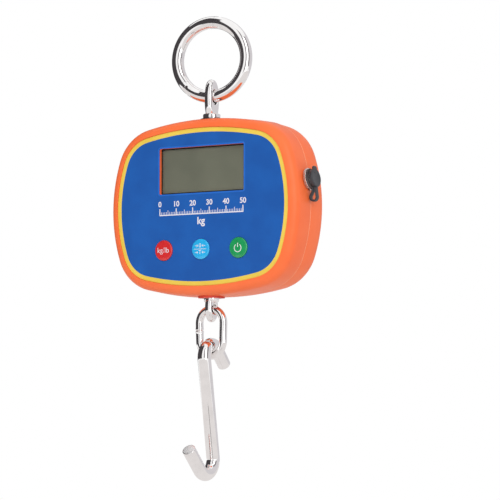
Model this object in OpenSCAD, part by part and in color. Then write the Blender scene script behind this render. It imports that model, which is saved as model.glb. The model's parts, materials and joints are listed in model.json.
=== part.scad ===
// Hanging digital fish scale: spring-gate ring, eye bolts on an S-beam load cell,
// a two-shell housing with display and three keys, an oval link and an S-hook.
// Origin: the hang point at the inside top of the ring. The face looks along -Y.

/* [Hanging ring] */
// Inside diameter of the ring
ring_inner_d = 43.8; // [38:0.2:56]
// Diameter of the ring's wire
ring_wire_d = 8.6; // [7:0.1:9.4]
// Turn of the ring about the vertical, in degrees
ring_turn = 8; // [0:1:15]
// Place of the gate's pin round the ring, in degrees from +X
gate_pin_angle = 227; // [218:1:232]
// Diameter of the gate's pin
gate_pin_d = 2.6; // [2:0.1:3.2]
// Thickness of the gate's tongue
tongue_t = 3.2; // [2.4:0.1:3.8]

/* [Eye bolts] */
// Thickness of the top eye
top_eye_t = 6; // [4.5:0.1:7]
// Width of the top eye
top_eye_w = 15.4; // [14.4:0.1:18]
// Hole in the top eye
top_eye_hole_d = 10.4; // [10:0.1:12]
// Metal above the top eye's hole
top_eye_rim = 7.2; // [4:0.1:9]
// Height of the top eye's hole above the housing
top_eye_rise = 15.1; // [13:0.1:20]
// Thickness of the bottom eye
low_eye_t = 5.5; // [4.5:0.1:6.5]
// Width of the bottom eye
low_eye_w = 11.6; // [10.6:0.1:14]
// Hole in the bottom eye
low_eye_hole_d = 7; // [6.8:0.1:8]
// Depth of the bottom eye's hole below the housing
low_eye_drop = 8; // [7.6:0.1:12]
// Metal below the bottom eye's hole
low_eye_rim = 5.6; // [3:0.1:7]
// Diameter of both bolts' plain shanks
shank_d = 10.4; // [9:0.1:11]
// Diameter of the top bolt's shoulder above the housing
shoulder_d = 12.2; // [11:0.1:14]
// Diameter of both bolts' threads
thread_d = 8; // [6:0.1:8.6]
// Length of thread held in the load cell
thread_grip = 11; // [8:0.5:14]

/* [Load cell] */
// Width of the load cell
cell_w = 32; // [28:0.5:40]
// Height of the load cell
cell_h = 64; // [60:0.5:72]
// Thickness of the load cell
cell_t = 10; // [9.6:0.1:11]
// Diameter of the two flexure holes
flexure_d = 15; // [10:0.5:17]
// Width of the load cell's slots
cell_slot = 2.2; // [1.2:0.1:3]

/* [Housing] */
// Width of the housing
body_w = 154.6; // [150:0.2:170]
// Height of the housing
body_h = 125.4; // [122:0.2:140]
// Bow radius of the top and bottom walls
top_bow_r = 226; // [200:1:300]
// Bow radius of the side walls
side_bow_r = 112; // [100:1:150]
// Corner radius seen from the front
corner_r = 32.8; // [26:0.2:38]
// Distance from the bolts' axis forward to the rim of the face
face_depth = 14.8; // [14.4:0.1:18]
// Distance from the bolts' axis back to the parting line
parting_depth = 3.8; // [3.4:0.1:6]
// Distance from the bolts' axis back to the rear face
rear_depth = 29; // [28:0.1:36]
// Draft of the front walls, measured at the front rounding
front_draft = 0.8; // [0.2:0.1:1.4]
// Rounding of the front edge
front_round = 7; // [4:0.1:8]
// Rounding of the rear edge
rear_round = 11; // [8:0.1:13]
// Draft of the rear walls, measured at the rear rounding
rear_draft = 0.7; // [0.4:0.1:1.6]
// Thickness of the shells' side walls
wall = 2.6; // [2:0.1:3]
// Thickness of the face plate behind the overlay
face_t = 2.3; // [1.8:0.1:2.8]
// Depth of the groove along the parting line
parting_groove = 0.5; // [0.3:0.1:0.8]
// Diameter of the shell screws
screw_d = 2.9; // [2.5:0.1:3.4]
// Half the spacing of the shell screws across
screw_x = 53; // [50:0.5:56]
// Half the spacing of the shell screws up and down
screw_z = 38; // [34:0.5:40]
// Depth of the recess over each shell screw
screw_recess = 5; // [3:0.5:8]
// Opening in the housing's floor round the bottom bolt
low_port_d = 18.8; // [16:0.1:20]
// Opening in the housing's roof round the top bolt
top_port_d = 16; // [15:0.1:20]

/* [Face] */
// Border of housing left round the overlay
overlay_border = 7.6; // [6:0.1:9]
// Thickness of the overlay
overlay_t = 0.5; // [0.3:0.1:0.8]
// Depth of the overlay's face below the rim
overlay_sink = 0.8; // [0.4:0.1:1.2]
// Width of the display window
window_w = 69.1; // [60:0.1:76]
// Height of the display window
window_h = 32.3; // [26:0.1:34]
// Height of the window's middle above the housing's middle
window_z = 25.9; // [24:0.1:28]
// Corner radius of the window
window_r = 1; // [0.5:0.1:3]
// Diameter of the keys
key_d = 14.3; // [12:0.1:16]
// Spacing of the keys
key_pitch = 30.5; // [24:0.1:32]
// Depth of the keys below the housing's middle
key_drop = 29.6; // [27:0.1:31]
// Height of a key above the overlay
key_rise = 1.3; // [0.8:0.1:2.4]
// Travel of a key
key_travel = 0.6; // [0.3:0.1:0.6]

/* [Electronics] */
// Thickness of the display's clear window
lens_t = 0.8; // [0.7:0.1:1]
// Thickness of the display panel
panel_t = 1.7; // [1.6:0.1:1.9]
// Width of the circuit board
board_w = 92; // [88:0.5:96]
// Height of the circuit board
board_h = 88; // [86:0.5:92]
// Thickness of the circuit board
board_t = 1.6; // [1:0.1:1.6]
// Diameter of the battery
battery_d = 18.4; // [16:0.1:18.6]
// Length of the battery
battery_l = 65; // [50:0.5:68]

/* [Charging inlet] */
// Height of the inlet above the housing's middle
inlet_z = 16.2; // [14:0.1:18]
// Diameter of the inlet's flange
inlet_flange_d = 15.4; // [14.4:0.1:16]
// Thickness of the inlet's flange
inlet_flange_t = 2; // [1.2:0.1:2.6]
// Diameter of the inlet's threaded barrel
inlet_barrel_d = 11; // [10:0.1:11.6]
// Diameter of the inlet's mouth
inlet_mouth_d = 6.3; // [5.8:0.1:7]
// Diameter of the inlet's centre pin
inlet_pin_d = 2.1; // [1.7:0.1:2.2]
// Diameter of the rubber washer that carries the cap
washer_d = 14.2; // [13:0.1:15]
// Diameter of the dust cap
cap_d = 12.8; // [12:0.1:14]
// Thickness of the dust cap
cap_t = 2.4; // [2:0.1:3.2]
// Width of the dust cap's strap
strap_w = 3.3; // [2.5:0.1:6]

/* [Link and hook] */
// Diameter of the link's wire
link_wire_d = 5.6; // [4:0.1:5.8]
// Outside width of the link
link_w = 25.7; // [24:0.1:30]
// Outside length of the link
link_l = 38; // [34:0.1:46]
// Diameter of the hook's rod
hook_rod_d = 9.3; // [7:0.1:10]
// Bend radius at the top of the hook, to the middle of the rod
hook_top_r = 9.3; // [8.6:0.1:12]
// Bend radius at the foot of the hook, to the middle of the rod
hook_low_r = 10; // [9:0.1:16]
// Length of the straight shank between the bends
shank_l = 67.8; // [50:0.2:90]
// Lean of the shank from the vertical, in degrees
shank_lean = 9.6; // [6:0.1:12]
// Length of the hook's straight stub, past its top bend
stub_l = 15.8; // [10:0.1:20]
// Length of the hook's straight tip
tip_l = 20.4; // [12:0.1:26]

/* [Hidden] */

$fn = 48;
big = 400;             // longer than any cut needs
fit = 0.05;            // radial clearance of a running fit
slip = 0.1;            // clearance between pieces that are only placed together
swing_gap = 0.4;       // clearance between pieces that hang in each other
sliver = 0.01;         // overlap that makes two shapes of one piece join
cut = 1;               // how far a cut runs past the face that it opens

// Hanging ring
ring_wire_r = ring_wire_d / 2;
ring_r = ring_inner_d / 2 + ring_wire_r;
ring_z = -ring_inner_d / 2;
seam_angle = 84;
seam_gap = 0.15;
hang_z = ring_z - ring_r;
knuckle_r = ring_wire_r;
knuckle_relief = 1.16;  // room that the open gate needs, as a share of the knuckle
pin_inset = 0.5;
tongue_turn = 30;       // how far the gate's tongue runs back round the ring, in degrees
spring_t = 0.5;
spring_l = tongue_t / 2;
spring_r = gate_pin_d / 2 + fit + spring_t;

// Eye bolts and housing, from the ring down
top_hole_z = hang_z + ring_wire_r + swing_gap - top_eye_hole_d / 2;
body_top_z = top_hole_z - top_eye_rise;
body_z = body_top_z - body_h / 2;
low_hole_z = -body_h / 2 - low_eye_drop;
neck_gap = 3;
shoulder_gap = 0.3;
cell_end = cell_h / 2;
nut_w = 13;
nut_t = 5;
flexure_land = 2;       // metal between a flexure hole and the end of the thread
gauge_w = 6;
gauge_l = 8;
gauge_t = 0.4;
gauge_rise = 9.6;

// Link and hook
link_wire_r = link_wire_d / 2;
link_gap = 0.7;
link_z = body_z + low_hole_z - low_eye_hole_d / 2 + link_gap + link_wire_r;
link_bend_r = link_w / 2 - link_wire_r;
link_straight = link_l - link_w;
hook_z = link_z - link_l + link_wire_d;
hook_rod_r = hook_rod_d / 2;
hook_gap = 0.3;
hook_bend_z = hook_z + link_wire_r + hook_gap + hook_rod_r - hook_top_r;
stub_angle = 42;
tip_angle = 224.4;
hook_steps = 24;       // rings in each of the hook's bends
hook_sides = 24;

// Housing depths, as places on Y
rim_y = -face_depth;
overlay_y = rim_y + overlay_sink;
plate_y = overlay_y + overlay_t;
inside_y = plate_y + face_t;
back_y = rear_depth;
floor_y = back_y - wall;
rear_step_y = back_y - rear_round;
lens_y = inside_y;
panel_y = lens_y + lens_t;
board_y = panel_y + panel_t + slip;
board_back_y = board_y + board_t;

// Thickness of the shells' walls at each depth, square to the outline
cavity_front = wall + 2;
cavity_mid = wall + 0.8;
cavity_deep = wall + 2.4;
cavity_floor = wall + 5.9;
cavity_turn = 5;        // depth past the rear step at which the cavity draws in for the floor
roof_in = body_h / 2 - cavity_mid;

// Collars in the roof and the floor
top_collar_lip = -0.3;
low_collar_lip = 0.4;
collar_flange_t = 1.2;
collar_flange_w = 1.5;
collar_gap = 0.7;

// Outline of the housing
outline_steps = [5, 6, 4];
edge_steps = 6;

// Display
window_seat = 2;
frame_rim = 3.4;
corner_fn = 24;

// Keys
key_gap = 0.2;
key_flange = 1.3;
key_flange_t = 0.8;
key_dome = 0.9;
stem_d = 3.4;
switch_w = 6.2;
switch_t = board_y - (inside_y + key_flange_t + key_travel + 2 * slip);
stem_sink = switch_t - key_travel - slip;

// Shell screws
boss_r = 4.2;
screw_head_d = 5.6;
screw_head_t = 2.2;
screw_head_y = back_y - screw_recess - screw_head_t;
screw_tip_gap = 3;       // from the face plate to a shell screw's tip
screw_tip_y = inside_y + screw_tip_gap;
boss_meet = 2.8;         // how far before the parting line the bosses meet
boss_meet_y = parting_depth - boss_meet;
cross_l = 3.8;
cross_w = 1.1;
recess_gap = 0.4;
gasket_t = 1.2;
gasket_d = 1;

// Inner pieces
board_screw_x = board_w / 2 - 3;
board_screw_z = board_h / 2 - 5;
board_z = 2;
board_post_r = 2.4;
board_screw_d = 2;
board_screw_head_d = 3.8;
board_screw_head_t = 1.3;
chip_t = 1;
processor = [[-28, -20], [-18, -8]];    // its lower left and upper right corners
amplifier = [[19, -22], [27, -14]];
buzzer_d = 12;
buzzer_t = 5;
buzzer_hole_d = 2;
holder_wall = 1.6;
battery_y = cell_t / 2 + holder_wall + battery_d / 2;
battery_z = -24;
contact_t = 1.4;
holder_l = battery_l + 2 * contact_t + 2 * holder_wall + 4 * slip;
bracket_t = 2;
bracket_post_w = 8;
bracket_post_x = cell_w / 2 - bracket_post_w / 2;
bracket_z = cell_end - bracket_post_w / 2;

// Charging inlet and dust cap. Places along the inlet are counted outward from the wall.
inlet_y = parting_depth - 1.2;
inlet_tilt = asin(inlet_z / side_bow_r);
inlet_nut_w = 14;
inlet_nut_t = 2.2;
inlet_nut_out = -cavity_mid - inlet_nut_w ^ 2 / (6 * (side_bow_r - cavity_mid)) - slip;
inlet_l = 17;
washer_t = 0.9;
nose_d = 9.6;
nose_lip = 0.6;
nose_lip_l = 0.8;
nose_end = inlet_flange_t + washer_t + slip + nose_lip_l;
mouth_l = 11;
pin_inset_l = 1;
grip_count = 24;
grip_r = 0.45;
cap_back = nose_end + slip;
cap_front = cap_back + cap_t;
spigot_d = inlet_mouth_d - 0.7;
spigot_bore_d = inlet_pin_d + 1.3;
spigot_l = 2.4;
tab_l = 1.8;
strap_t = 0.9;
fold_r = 2.6;           // to the middle of the strap
fold_centre = [body_w / 2 + fold_r + strap_t / 2 + slip, inlet_z - 12.4];
fold_steps = 24;

// Leads inside the housing, each a flat run of points
lead_d = 1.6;
lead_drop = 2.4;        // from midway between board and load cell back to the leads
lead_y = (board_back_y - cell_t / 2) / 2 + lead_drop;
lead_turn_y = 5;         // where the battery lead leaves its straight run
plug_w = 6;
plug_t = 4.6;
plug_gap = 1;
board_edge = board_w / 2;
inlet_end = inlet_point(-inlet_l, 0);
cell_plug = [cell_w / 2 + 8, 8];
battery_plug = [-holder_l / 2 - plug_w / 2 - plug_gap, battery_z];
inlet_plug = [board_edge - plug_w / 2 - plug_gap, inlet_end[1]];

// Points on the housing's outline, drawn in or out by d: one quarter, then the loop.
function corner_centre(a, b) =
    let (top = [0, b - top_bow_r], side = [a - side_bow_r, 0],
         top_d = top_bow_r - corner_r, side_d = side_bow_r - corner_r,
         v = side - top, d = norm(v), u = v / d,
         p = (top_d ^ 2 - side_d ^ 2 + d ^ 2) / (2 * d))
    top + p * u + sqrt(top_d ^ 2 - p ^ 2) * [u[1], -u[0]];
function arc_points(c, r, from, to, n) =
    [for (i = [0:n - 1]) c + r * [cos(from + (to - from) * i / n), sin(from + (to - from) * i / n)]];
function quarter(d) =
    let (a = body_w / 2, b = body_h / 2, c = corner_centre(a, b),
         top = [0, b - top_bow_r], side = [a - side_bow_r, 0],
         t = c - top, s = c - side, t_angle = atan2(t[1], t[0]), s_angle = atan2(s[1], s[0]))
    concat(arc_points(top, top_bow_r + d, 90, t_angle, outline_steps[0]),
        arc_points(c, corner_r + d, t_angle, s_angle, outline_steps[1]),
        arc_points(side, side_bow_r + d, s_angle, 0, outline_steps[2]), [[a + d, 0]]);
function backwards(list) = [for (i = [len(list) - 1:-1:0]) list[i]];
function inner(list) = [for (i = [1:len(list) - 2]) list[i]];
function outline(d) =
    let (q = quarter(d), down = [for (p = backwards(q)) [p[0], -p[1]]],
         half = concat(q, [for (i = [1:len(down) - 1]) down[i]]),
         left = [for (p = backwards(inner(half))) [-p[0], p[1]]])
    concat(half, left);

// A place in the plan of the inlet's axis, [across, up]: out from the wall, then up square to the axis.
function inlet_point(out, up) =
    [body_w / 2 - side_bow_r, 0] + (side_bow_r + out) * [cos(inlet_tilt), sin(inlet_tilt)]
    + up * [-sin(inlet_tilt), cos(inlet_tilt)];

// A solid through outlines, each given as [place on Y, distance in or out].
module lofted(levels) {
    n = len(outline(0));
    points = [for (level = levels) for (p = outline(level[1])) [p[0], level[0], p[1]]];
    sides = [for (k = [0:len(levels) - 2]) for (i = [0:n - 1])
        [k * n + i, (k + 1) * n + i, (k + 1) * n + (i + 1) % n, k * n + (i + 1) % n]];
    polyhedron(points, concat(sides,
        [[for (i = [0:n - 1]) i]],
        [[for (i = [0:n - 1]) len(points) - 1 - i]]));
}

// A flat plate with the housing's outline, from y0 to y1.
module outline_plate(y0, y1, d) {
    translate([0, y1, 0])
        rotate([90, 0, 0])
            linear_extrude(y1 - y0)
                polygon(outline(d));
}

module along_x(x0, x1, r) {
    translate([x0, 0, 0])
        rotate([0, 90, 0])
            cylinder(h = x1 - x0, r = r);
}

module along_y(y0, y1, r) {
    translate([0, y0, 0])
        rotate([-90, 0, 0])
            cylinder(h = y1 - y0, r = r);
}

module block(low, high) {
    translate(low)
        cube(high - low);
}

module rounded_block(w, h, r, y0, y1) {
    translate([0, y1, 0])
        rotate([90, 0, 0])
            linear_extrude(y1 - y0)
                union() {
                    square([w - 2 * r, h], center = true);
                    square([w, h - 2 * r], center = true);
                    for (x = [-1, 1], z = [-1, 1])
                        translate([x * (w / 2 - r), z * (h / 2 - r)])
                            circle(r, $fn = corner_fn);
                }
}

module nut(w, t, bore_d) {
    difference() {
        cylinder(h = t, d = w / cos(30), $fn = 6);
        translate([0, 0, -cut])
            cylinder(h = t + 2 * cut, d = bore_d);
    }
}

// A round tube along points that lie in one plane, whose normal is flat.
function unit(v) = v / norm(v);
function path_dir(path, i) =
    let (last = len(path) - 1, a = max(i, 1), b = min(i, last - 1))
    unit(unit(path[a] - path[a - 1]) + unit(path[b + 1] - path[b]));
function tube_ring(p, dir, flat, r, n) =
    let (side = cross(dir, flat))
    [for (k = [0:n - 1]) p + r * (cos(360 * k / n) * side + sin(360 * k / n) * flat)];
module tube(path, flat, r, n) {
    last = len(path) - 1;
    points = [for (i = [0:last]) for (p = tube_ring(path[i], path_dir(path, i), flat, r, n)) p];
    sides = [for (i = [0:last - 1]) for (k = [0:n - 1])
        [i * n + k, i * n + (k + 1) % n, (i + 1) * n + (k + 1) % n, (i + 1) * n + k]];
    polyhedron(points, concat(sides,
        [[for (k = [0:n - 1]) n - 1 - k]], [[for (k = [0:n - 1]) last * n + k]]));
}

module lead(path, flat) {
    tube(path, flat, lead_d / 2, 8);
}

// ---- Hanging ring ----

module at_ring() {
    rotate([0, 0, ring_turn])
        translate([0, 0, ring_z])
            children();
}

module ring_torus() {
    rotate([90, 0, 0])
        rotate_extrude($fn = 96)
            translate([ring_r, 0])
                circle(ring_wire_r);
}

// The part of the plane from one angle to another, as a wedge through the wire.
module wedge(from, to) {
    steps = 6;
    rotate([90, 0, 0])
        linear_extrude(ring_wire_d * 2, center = true)
            polygon(concat([[0, 0]], [for (i = [0:steps])
                let (a = from + (to - from) * i / steps) 2 * ring_r * [cos(a), sin(a)]]));
}

module at_gate_pin() {
    translate([ring_r * cos(gate_pin_angle), 0, ring_r * sin(gate_pin_angle)])
        children();
}

module knuckle(r) {
    at_gate_pin()
        along_y(-ring_wire_d, ring_wire_d, r);
}

module tongue_slab(t) {
    cube([big, t, big], center = true);
}

module ring_body() {
    color("gainsboro")
        at_ring()
            difference() {
                intersection() {
                    ring_torus();
                    union() {
                        wedge(gate_pin_angle - 360, seam_angle);
                        knuckle(knuckle_r);
                    }
                }
                intersection() {
                    knuckle(knuckle_r * knuckle_relief);
                    tongue_slab(tongue_t + 2 * slip);
                }
                knuckle(gate_pin_d / 2);
            }
}

module ring_gate() {
    color("gainsboro")
        at_ring()
            difference() {
                intersection() {
                    ring_torus();
                    union() {
                        difference() {
                            wedge(seam_angle + seam_gap * 2, gate_pin_angle);
                            knuckle(knuckle_r + slip);
                        }
                        intersection() {
                            union() {
                                wedge(gate_pin_angle - tongue_turn, gate_pin_angle);
                                knuckle(knuckle_r);
                            }
                            tongue_slab(tongue_t);
                        }
                    }
                }
                knuckle(gate_pin_d / 2 + fit);
                at_gate_pin()
                    along_y(-spring_l / 2 - slip, spring_l / 2 + slip, spring_r + slip);
            }
}

module gate_pin() {
    color("silver")
        at_ring()
            at_gate_pin()
                along_y(-ring_wire_r + pin_inset, ring_wire_r - pin_inset, gate_pin_d / 2);
}

module gate_spring() {
    color("dimgray")
        at_ring()
            at_gate_pin()
                difference() {
                    along_y(-spring_l / 2, spring_l / 2, spring_r);
                    along_y(-spring_l, spring_l, gate_pin_d / 2 + fit);
                }
}

// ---- Eye bolts, nuts and load cell ----

module in_body() {
    translate([0, 0, body_z])
        children();
}

// The side view of an eye: a rounded end, then a taper to the shank.
function eye_side(hole_d, w, rim, neck) =
    let (up = hole_d / 2 + rim, steps = 12)
    concat([for (i = [0:steps]) let (a = 180 * i / steps) [w / 2 * cos(a), up * sin(a)]],
        [for (i = [1:steps]) let (t = i / steps, e = (1 - cos(180 * t)) / 2)
            [-(w / 2 + (shank_d / 2 - w / 2) * e), -neck * t]],
        [for (i = [steps:-1:1]) let (t = i / steps, e = (1 - cos(180 * t)) / 2)
            [w / 2 + (shank_d / 2 - w / 2) * e, -neck * t]]);

module eye(hole_d, w, t, rim, neck) {
    difference() {
        rotate([90, 0, 90])
            linear_extrude(t, center = true)
                polygon(eye_side(hole_d, w, rim, neck));
        along_x(-t, t, hole_d / 2);
    }
}

module top_eye_bolt() {
    neck = top_eye_rise - neck_gap;
    hole_up = body_h / 2 + top_eye_rise;
    color("gainsboro")
        in_body() {
            translate([0, 0, hole_up])
                rotate([0, 0, ring_turn])
                    eye(top_eye_hole_d, top_eye_w, top_eye_t, top_eye_rim, neck);
            translate([0, 0, body_h / 2 + shoulder_gap])
                cylinder(h = neck_gap - shoulder_gap, d = shoulder_d);
            translate([0, 0, cell_end])
                cylinder(h = hole_up - neck - cell_end + sliver, d = shank_d);
            translate([0, 0, cell_end - thread_grip])
                cylinder(h = thread_grip + sliver, d = thread_d);
        }
}

module bottom_eye_bolt() {
    neck = low_eye_drop - neck_gap;
    color("gainsboro")
        in_body() {
            translate([0, 0, low_hole_z])
                mirror([0, 0, 1])
                    eye(low_eye_hole_d, low_eye_w, low_eye_t, low_eye_rim, neck);
            translate([0, 0, low_hole_z + neck - sliver])
                cylinder(h = -low_hole_z - neck - cell_end + sliver, d = shank_d);
            translate([0, 0, -cell_end - sliver])
                cylinder(h = thread_grip + sliver, d = thread_d);
        }
}

module top_lock_nut() {
    color("silver")
        in_body()
            translate([0, 0, cell_end + slip])
                nut(nut_w, nut_t, shank_d + 2 * fit);
}

module bottom_lock_nut() {
    color("silver")
        in_body()
            translate([0, 0, -cell_end - slip - nut_t])
                nut(nut_w, nut_t, shank_d + 2 * fit);
}

module load_cell() {
    flexure_z = cell_end - thread_grip - flexure_d / 2 - flexure_land;
    color("lightsteelblue")
        in_body()
            difference() {
                cube([cell_w, cell_t, cell_h], center = true);
                for (side = [-1, 1]) {
                    translate([0, 0, side * flexure_z])
                        along_y(-cell_t, cell_t, flexure_d / 2);
                    translate([0, 0, side * cell_end])
                        cylinder(h = 2 * (thread_grip + slip), d = thread_d + 2 * fit, center = true);
                    block([min(0, side * cell_w), -cell_t, side * flexure_z - cell_slot / 2],
                        [max(0, side * cell_w), cell_t, side * flexure_z + cell_slot / 2]);
                    translate([side * bracket_post_x, 0, bracket_z])
                        along_y(-cell_t, cell_t, screw_d / 2 + fit);
                }
            }
}

module strain_gauges() {
    color("burlywood")
        in_body()
            for (side = [-1, 1], row = [-1, 1])
                translate([side * (cell_w / 2 + gauge_t / 2), 0, row * gauge_rise])
                    cube([gauge_t, gauge_w, gauge_l], center = true);
}

module cell_bracket() {
    color("slategray")
        in_body()
            difference() {
                union() {
                    for (side = [-1, 1])
                        block([side * bracket_post_x - bracket_post_w / 2, cell_t / 2,
                                cell_end - bracket_post_w],
                            [side * bracket_post_x + bracket_post_w / 2, floor_y, cell_end]);
                    block([-cell_w / 2, floor_y - bracket_t, cell_end - bracket_post_w],
                        [cell_w / 2, floor_y, cell_end]);
                }
                for (side = [-1, 1])
                    translate([side * bracket_post_x, 0, bracket_z])
                        along_y(0, back_y, screw_d / 2 + fit);
            }
}

module bracket_screws() {
    color("silver")
        in_body()
            for (side = [-1, 1])
                translate([side * bracket_post_x, 0, bracket_z]) {
                    along_y(-cell_t / 2 - screw_head_t / 2, -cell_t / 2, screw_head_d / 2);
                    along_y(-cell_t / 2 - sliver, floor_y - bracket_t, screw_d / 2);
                }
}

// ---- Housing ----

// Everything that is cut from both shells where they meet.
module parting_cuts() {
    low_wall = [-body_h, -body_h / 2 + 2 * cavity_mid];
    translate([0, 0, low_wall[0]])
        cylinder(h = low_wall[1] - low_wall[0], d = low_port_d);
    translate([0, 0, -low_wall[1]])
        cylinder(h = body_h, d = top_port_d);
    at_inlet()
        along_x(-inlet_l, inlet_l, inlet_barrel_d / 2 + slip);
    difference() {
        outline_plate(parting_depth - gasket_t / 2 - slip, parting_depth + gasket_t / 2 + slip,
            -wall / 2 + gasket_d / 2 + slip);
        outline_plate(parting_depth - gasket_t, parting_depth + gasket_t, -wall / 2 - gasket_d / 2 - slip);
    }
}

module at_shell_screws() {
    for (x = [-1, 1], z = [-1, 1])
        translate([x * screw_x, 0, z * screw_z])
            children();
}

module at_board_screws() {
    for (x = [-1, 1], z = [-1, 1])
        translate([x * board_screw_x, 0, board_z + z * board_screw_z])
            children();
}

module at_keys() {
    for (x = [-1:1])
        translate([x * key_pitch, 0, -key_drop])
            children();
}

module at_window() {
    translate([0, 0, window_z])
        children();
}

module front_shell() {
    edge = [for (i = [0:edge_steps]) let (a = 90 * i / edge_steps)
        [rim_y + front_round * (1 - sin(a)), -front_draft - front_round * (1 - cos(a))]];
    cavity_y = rim_y + front_round;
    color("coral")
        in_body()
            difference() {
                union() {
                    difference() {
                        lofted(concat(backwards(edge),
                            [[parting_depth - parting_groove, 0], [parting_depth, -parting_groove]]));
                        outline_plate(inside_y, cavity_y, -cavity_front);
                        outline_plate(cavity_y - sliver, parting_depth + cut, -wall);
                    }
                    at_shell_screws()
                        along_y(inside_y - sliver, boss_meet_y - slip, boss_r);
                    at_board_screws()
                        along_y(inside_y - sliver, board_y, board_post_r);
                }
                outline_plate(rim_y - cut, plate_y, -overlay_border + slip);
                at_window()
                    rounded_block(window_w, window_h, window_r, plate_y - cut, inside_y + cut);
                at_keys()
                    along_y(plate_y - cut, inside_y + cut, key_d / 2 + key_gap);
                at_board_screws()
                    along_y(inside_y, board_y + cut, board_screw_d / 2 + fit);
                at_shell_screws()
                    along_y(screw_tip_y - slip, big, screw_d / 2 + fit);
                parting_cuts();
            }
}

module rear_shell() {
    edge = [for (i = [0:edge_steps]) let (a = 90 * i / edge_steps)
        [rear_step_y + rear_round * sin(a), -rear_draft - rear_round * (1 - cos(a))]];
    cavity_y = rear_step_y + cavity_turn;
    color("coral")
        in_body()
            difference() {
                union() {
                    difference() {
                        lofted(concat([[parting_depth, -parting_groove],
                            [parting_depth + parting_groove, 0]], edge));
                        outline_plate(parting_depth - cut, rear_step_y, -cavity_mid);
                        outline_plate(rear_step_y - sliver, cavity_y, -cavity_deep);
                        outline_plate(cavity_y - sliver, floor_y, -cavity_floor);
                    }
                    at_shell_screws()
                        along_y(boss_meet_y, floor_y + sliver, boss_r);
                }
                at_shell_screws() {
                    along_y(0, big, screw_d / 2 + slip);
                    along_y(screw_head_y, big, screw_head_d / 2 + recess_gap);
                }
                parting_cuts();
            }
}

module seam_gasket() {
    color("dimgray")
        in_body()
            difference() {
                outline_plate(parting_depth - gasket_t / 2, parting_depth + gasket_t / 2,
                    -wall / 2 + gasket_d / 2);
                outline_plate(parting_depth - gasket_t, parting_depth + gasket_t,
                    -wall / 2 - gasket_d / 2);
                at_inlet()
                    along_x(-inlet_l, inlet_l, inlet_barrel_d / 2 + slip);
                cube([max(low_port_d, top_port_d) + 2 * cut, 2 * big, 2 * body_h], center = true);
            }
}

module shell_screws() {
    color("silver")
        in_body()
            at_shell_screws()
                difference() {
                    union() {
                        along_y(screw_head_y, screw_head_y + screw_head_t, screw_head_d / 2);
                        along_y(screw_tip_y, screw_head_y + sliver, screw_d / 2);
                    }
                    for (turn = [0, 90])
                        rotate([0, turn, 0])
                            block([-cross_l / 2, screw_head_y + screw_head_t / 2, -cross_w / 2],
                                [cross_l / 2, screw_head_y + 2 * screw_head_t, cross_w / 2]);
                }
}

// A collar in the roof or the floor, which lets a bolt through without touching it.
module collar(port_d, lip) {
    flange_r = port_d / 2 + collar_flange_w;
    seat_z = roof_in - flange_r ^ 2 / (2 * top_bow_r) - slip;
    foot_z = seat_z - collar_flange_t;
    difference() {
        union() {
            intersection() {
                translate([0, 0, foot_z])
                    cylinder(h = collar_flange_t, r = flange_r);
                block([-port_d, rim_y + front_round + slip, 0], [port_d, port_d, body_h]);
            }
            translate([0, 0, foot_z])
                cylinder(h = body_h / 2 + lip - foot_z, d = port_d - 2 * slip);
        }
        cylinder(h = body_h, r = shank_d / 2 + collar_gap);
    }
}

module top_collar() {
    color("dimgray")
        in_body()
            collar(top_port_d, top_collar_lip);
}

module bottom_collar() {
    color("dimgray")
        in_body()
            mirror([0, 0, 1])
                collar(low_port_d, low_collar_lip);
}

// ---- Face ----

module face_overlay() {
    color("royalblue")
        in_body()
            difference() {
                outline_plate(overlay_y, plate_y, -overlay_border);
                at_window()
                    rounded_block(window_w, window_h, window_r, overlay_y - cut, plate_y + cut);
                at_keys()
                    along_y(overlay_y - cut, plate_y + cut, key_d / 2 + key_gap);
            }
}

module display_window() {
    color("lightcyan")
        in_body()
            at_window()
                rounded_block(window_w + 2 * window_seat, window_h + 2 * window_seat, window_r,
                    lens_y, lens_y + lens_t);
}

module display_panel() {
    color("darkkhaki")
        in_body()
            at_window()
                rounded_block(window_w + 2 * window_seat, window_h + 2 * window_seat, window_r,
                    panel_y, panel_y + panel_t);
}

module display_frame() {
    inner = 2 * (window_seat + slip);
    outer = inner + 2 * frame_rim;
    color("black")
        in_body()
            at_window()
                difference() {
                    rounded_block(window_w + outer, window_h + outer, window_r, lens_y, board_y);
                    rounded_block(window_w + inner, window_h + inner, window_r, lens_y - cut, board_y + cut);
                }
}

// A key: a domed cap with a flange behind the face plate and a stem in its switch.
module key(place) {
    r = key_d / 2;
    steps = 6;
    front = overlay_y - key_rise;
    dome = [for (i = [0:steps]) let (t = i / steps) [r * t, front + key_dome * t ^ 2]];
    flange_y = inside_y + slip;
    in_body()
        translate([place * key_pitch, 0, -key_drop])
            rotate([-90, 0, 0])
                rotate_extrude()
                    polygon(concat(dome, [[r, flange_y], [r + key_flange, flange_y],
                        [r + key_flange, flange_y + key_flange_t], [stem_d / 2, flange_y + key_flange_t],
                        [stem_d / 2, board_y - switch_t + stem_sink], [0, board_y - switch_t + stem_sink]]));
}

module unit_key() {
    color("crimson")
        key(-1);
}

module zero_key() {
    color("deepskyblue")
        key(0);
}

module power_key() {
    color("seagreen")
        key(1);
}

// ---- Electronics ----

module main_board() {
    color("darkgreen")
        in_body()
            difference() {
                block([-board_edge, board_y, board_z - board_h / 2],
                    [board_edge, board_back_y, board_z + board_h / 2]);
                at_board_screws()
                    along_y(board_y - cut, board_back_y + cut, board_screw_d / 2 + slip);
            }
}

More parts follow.
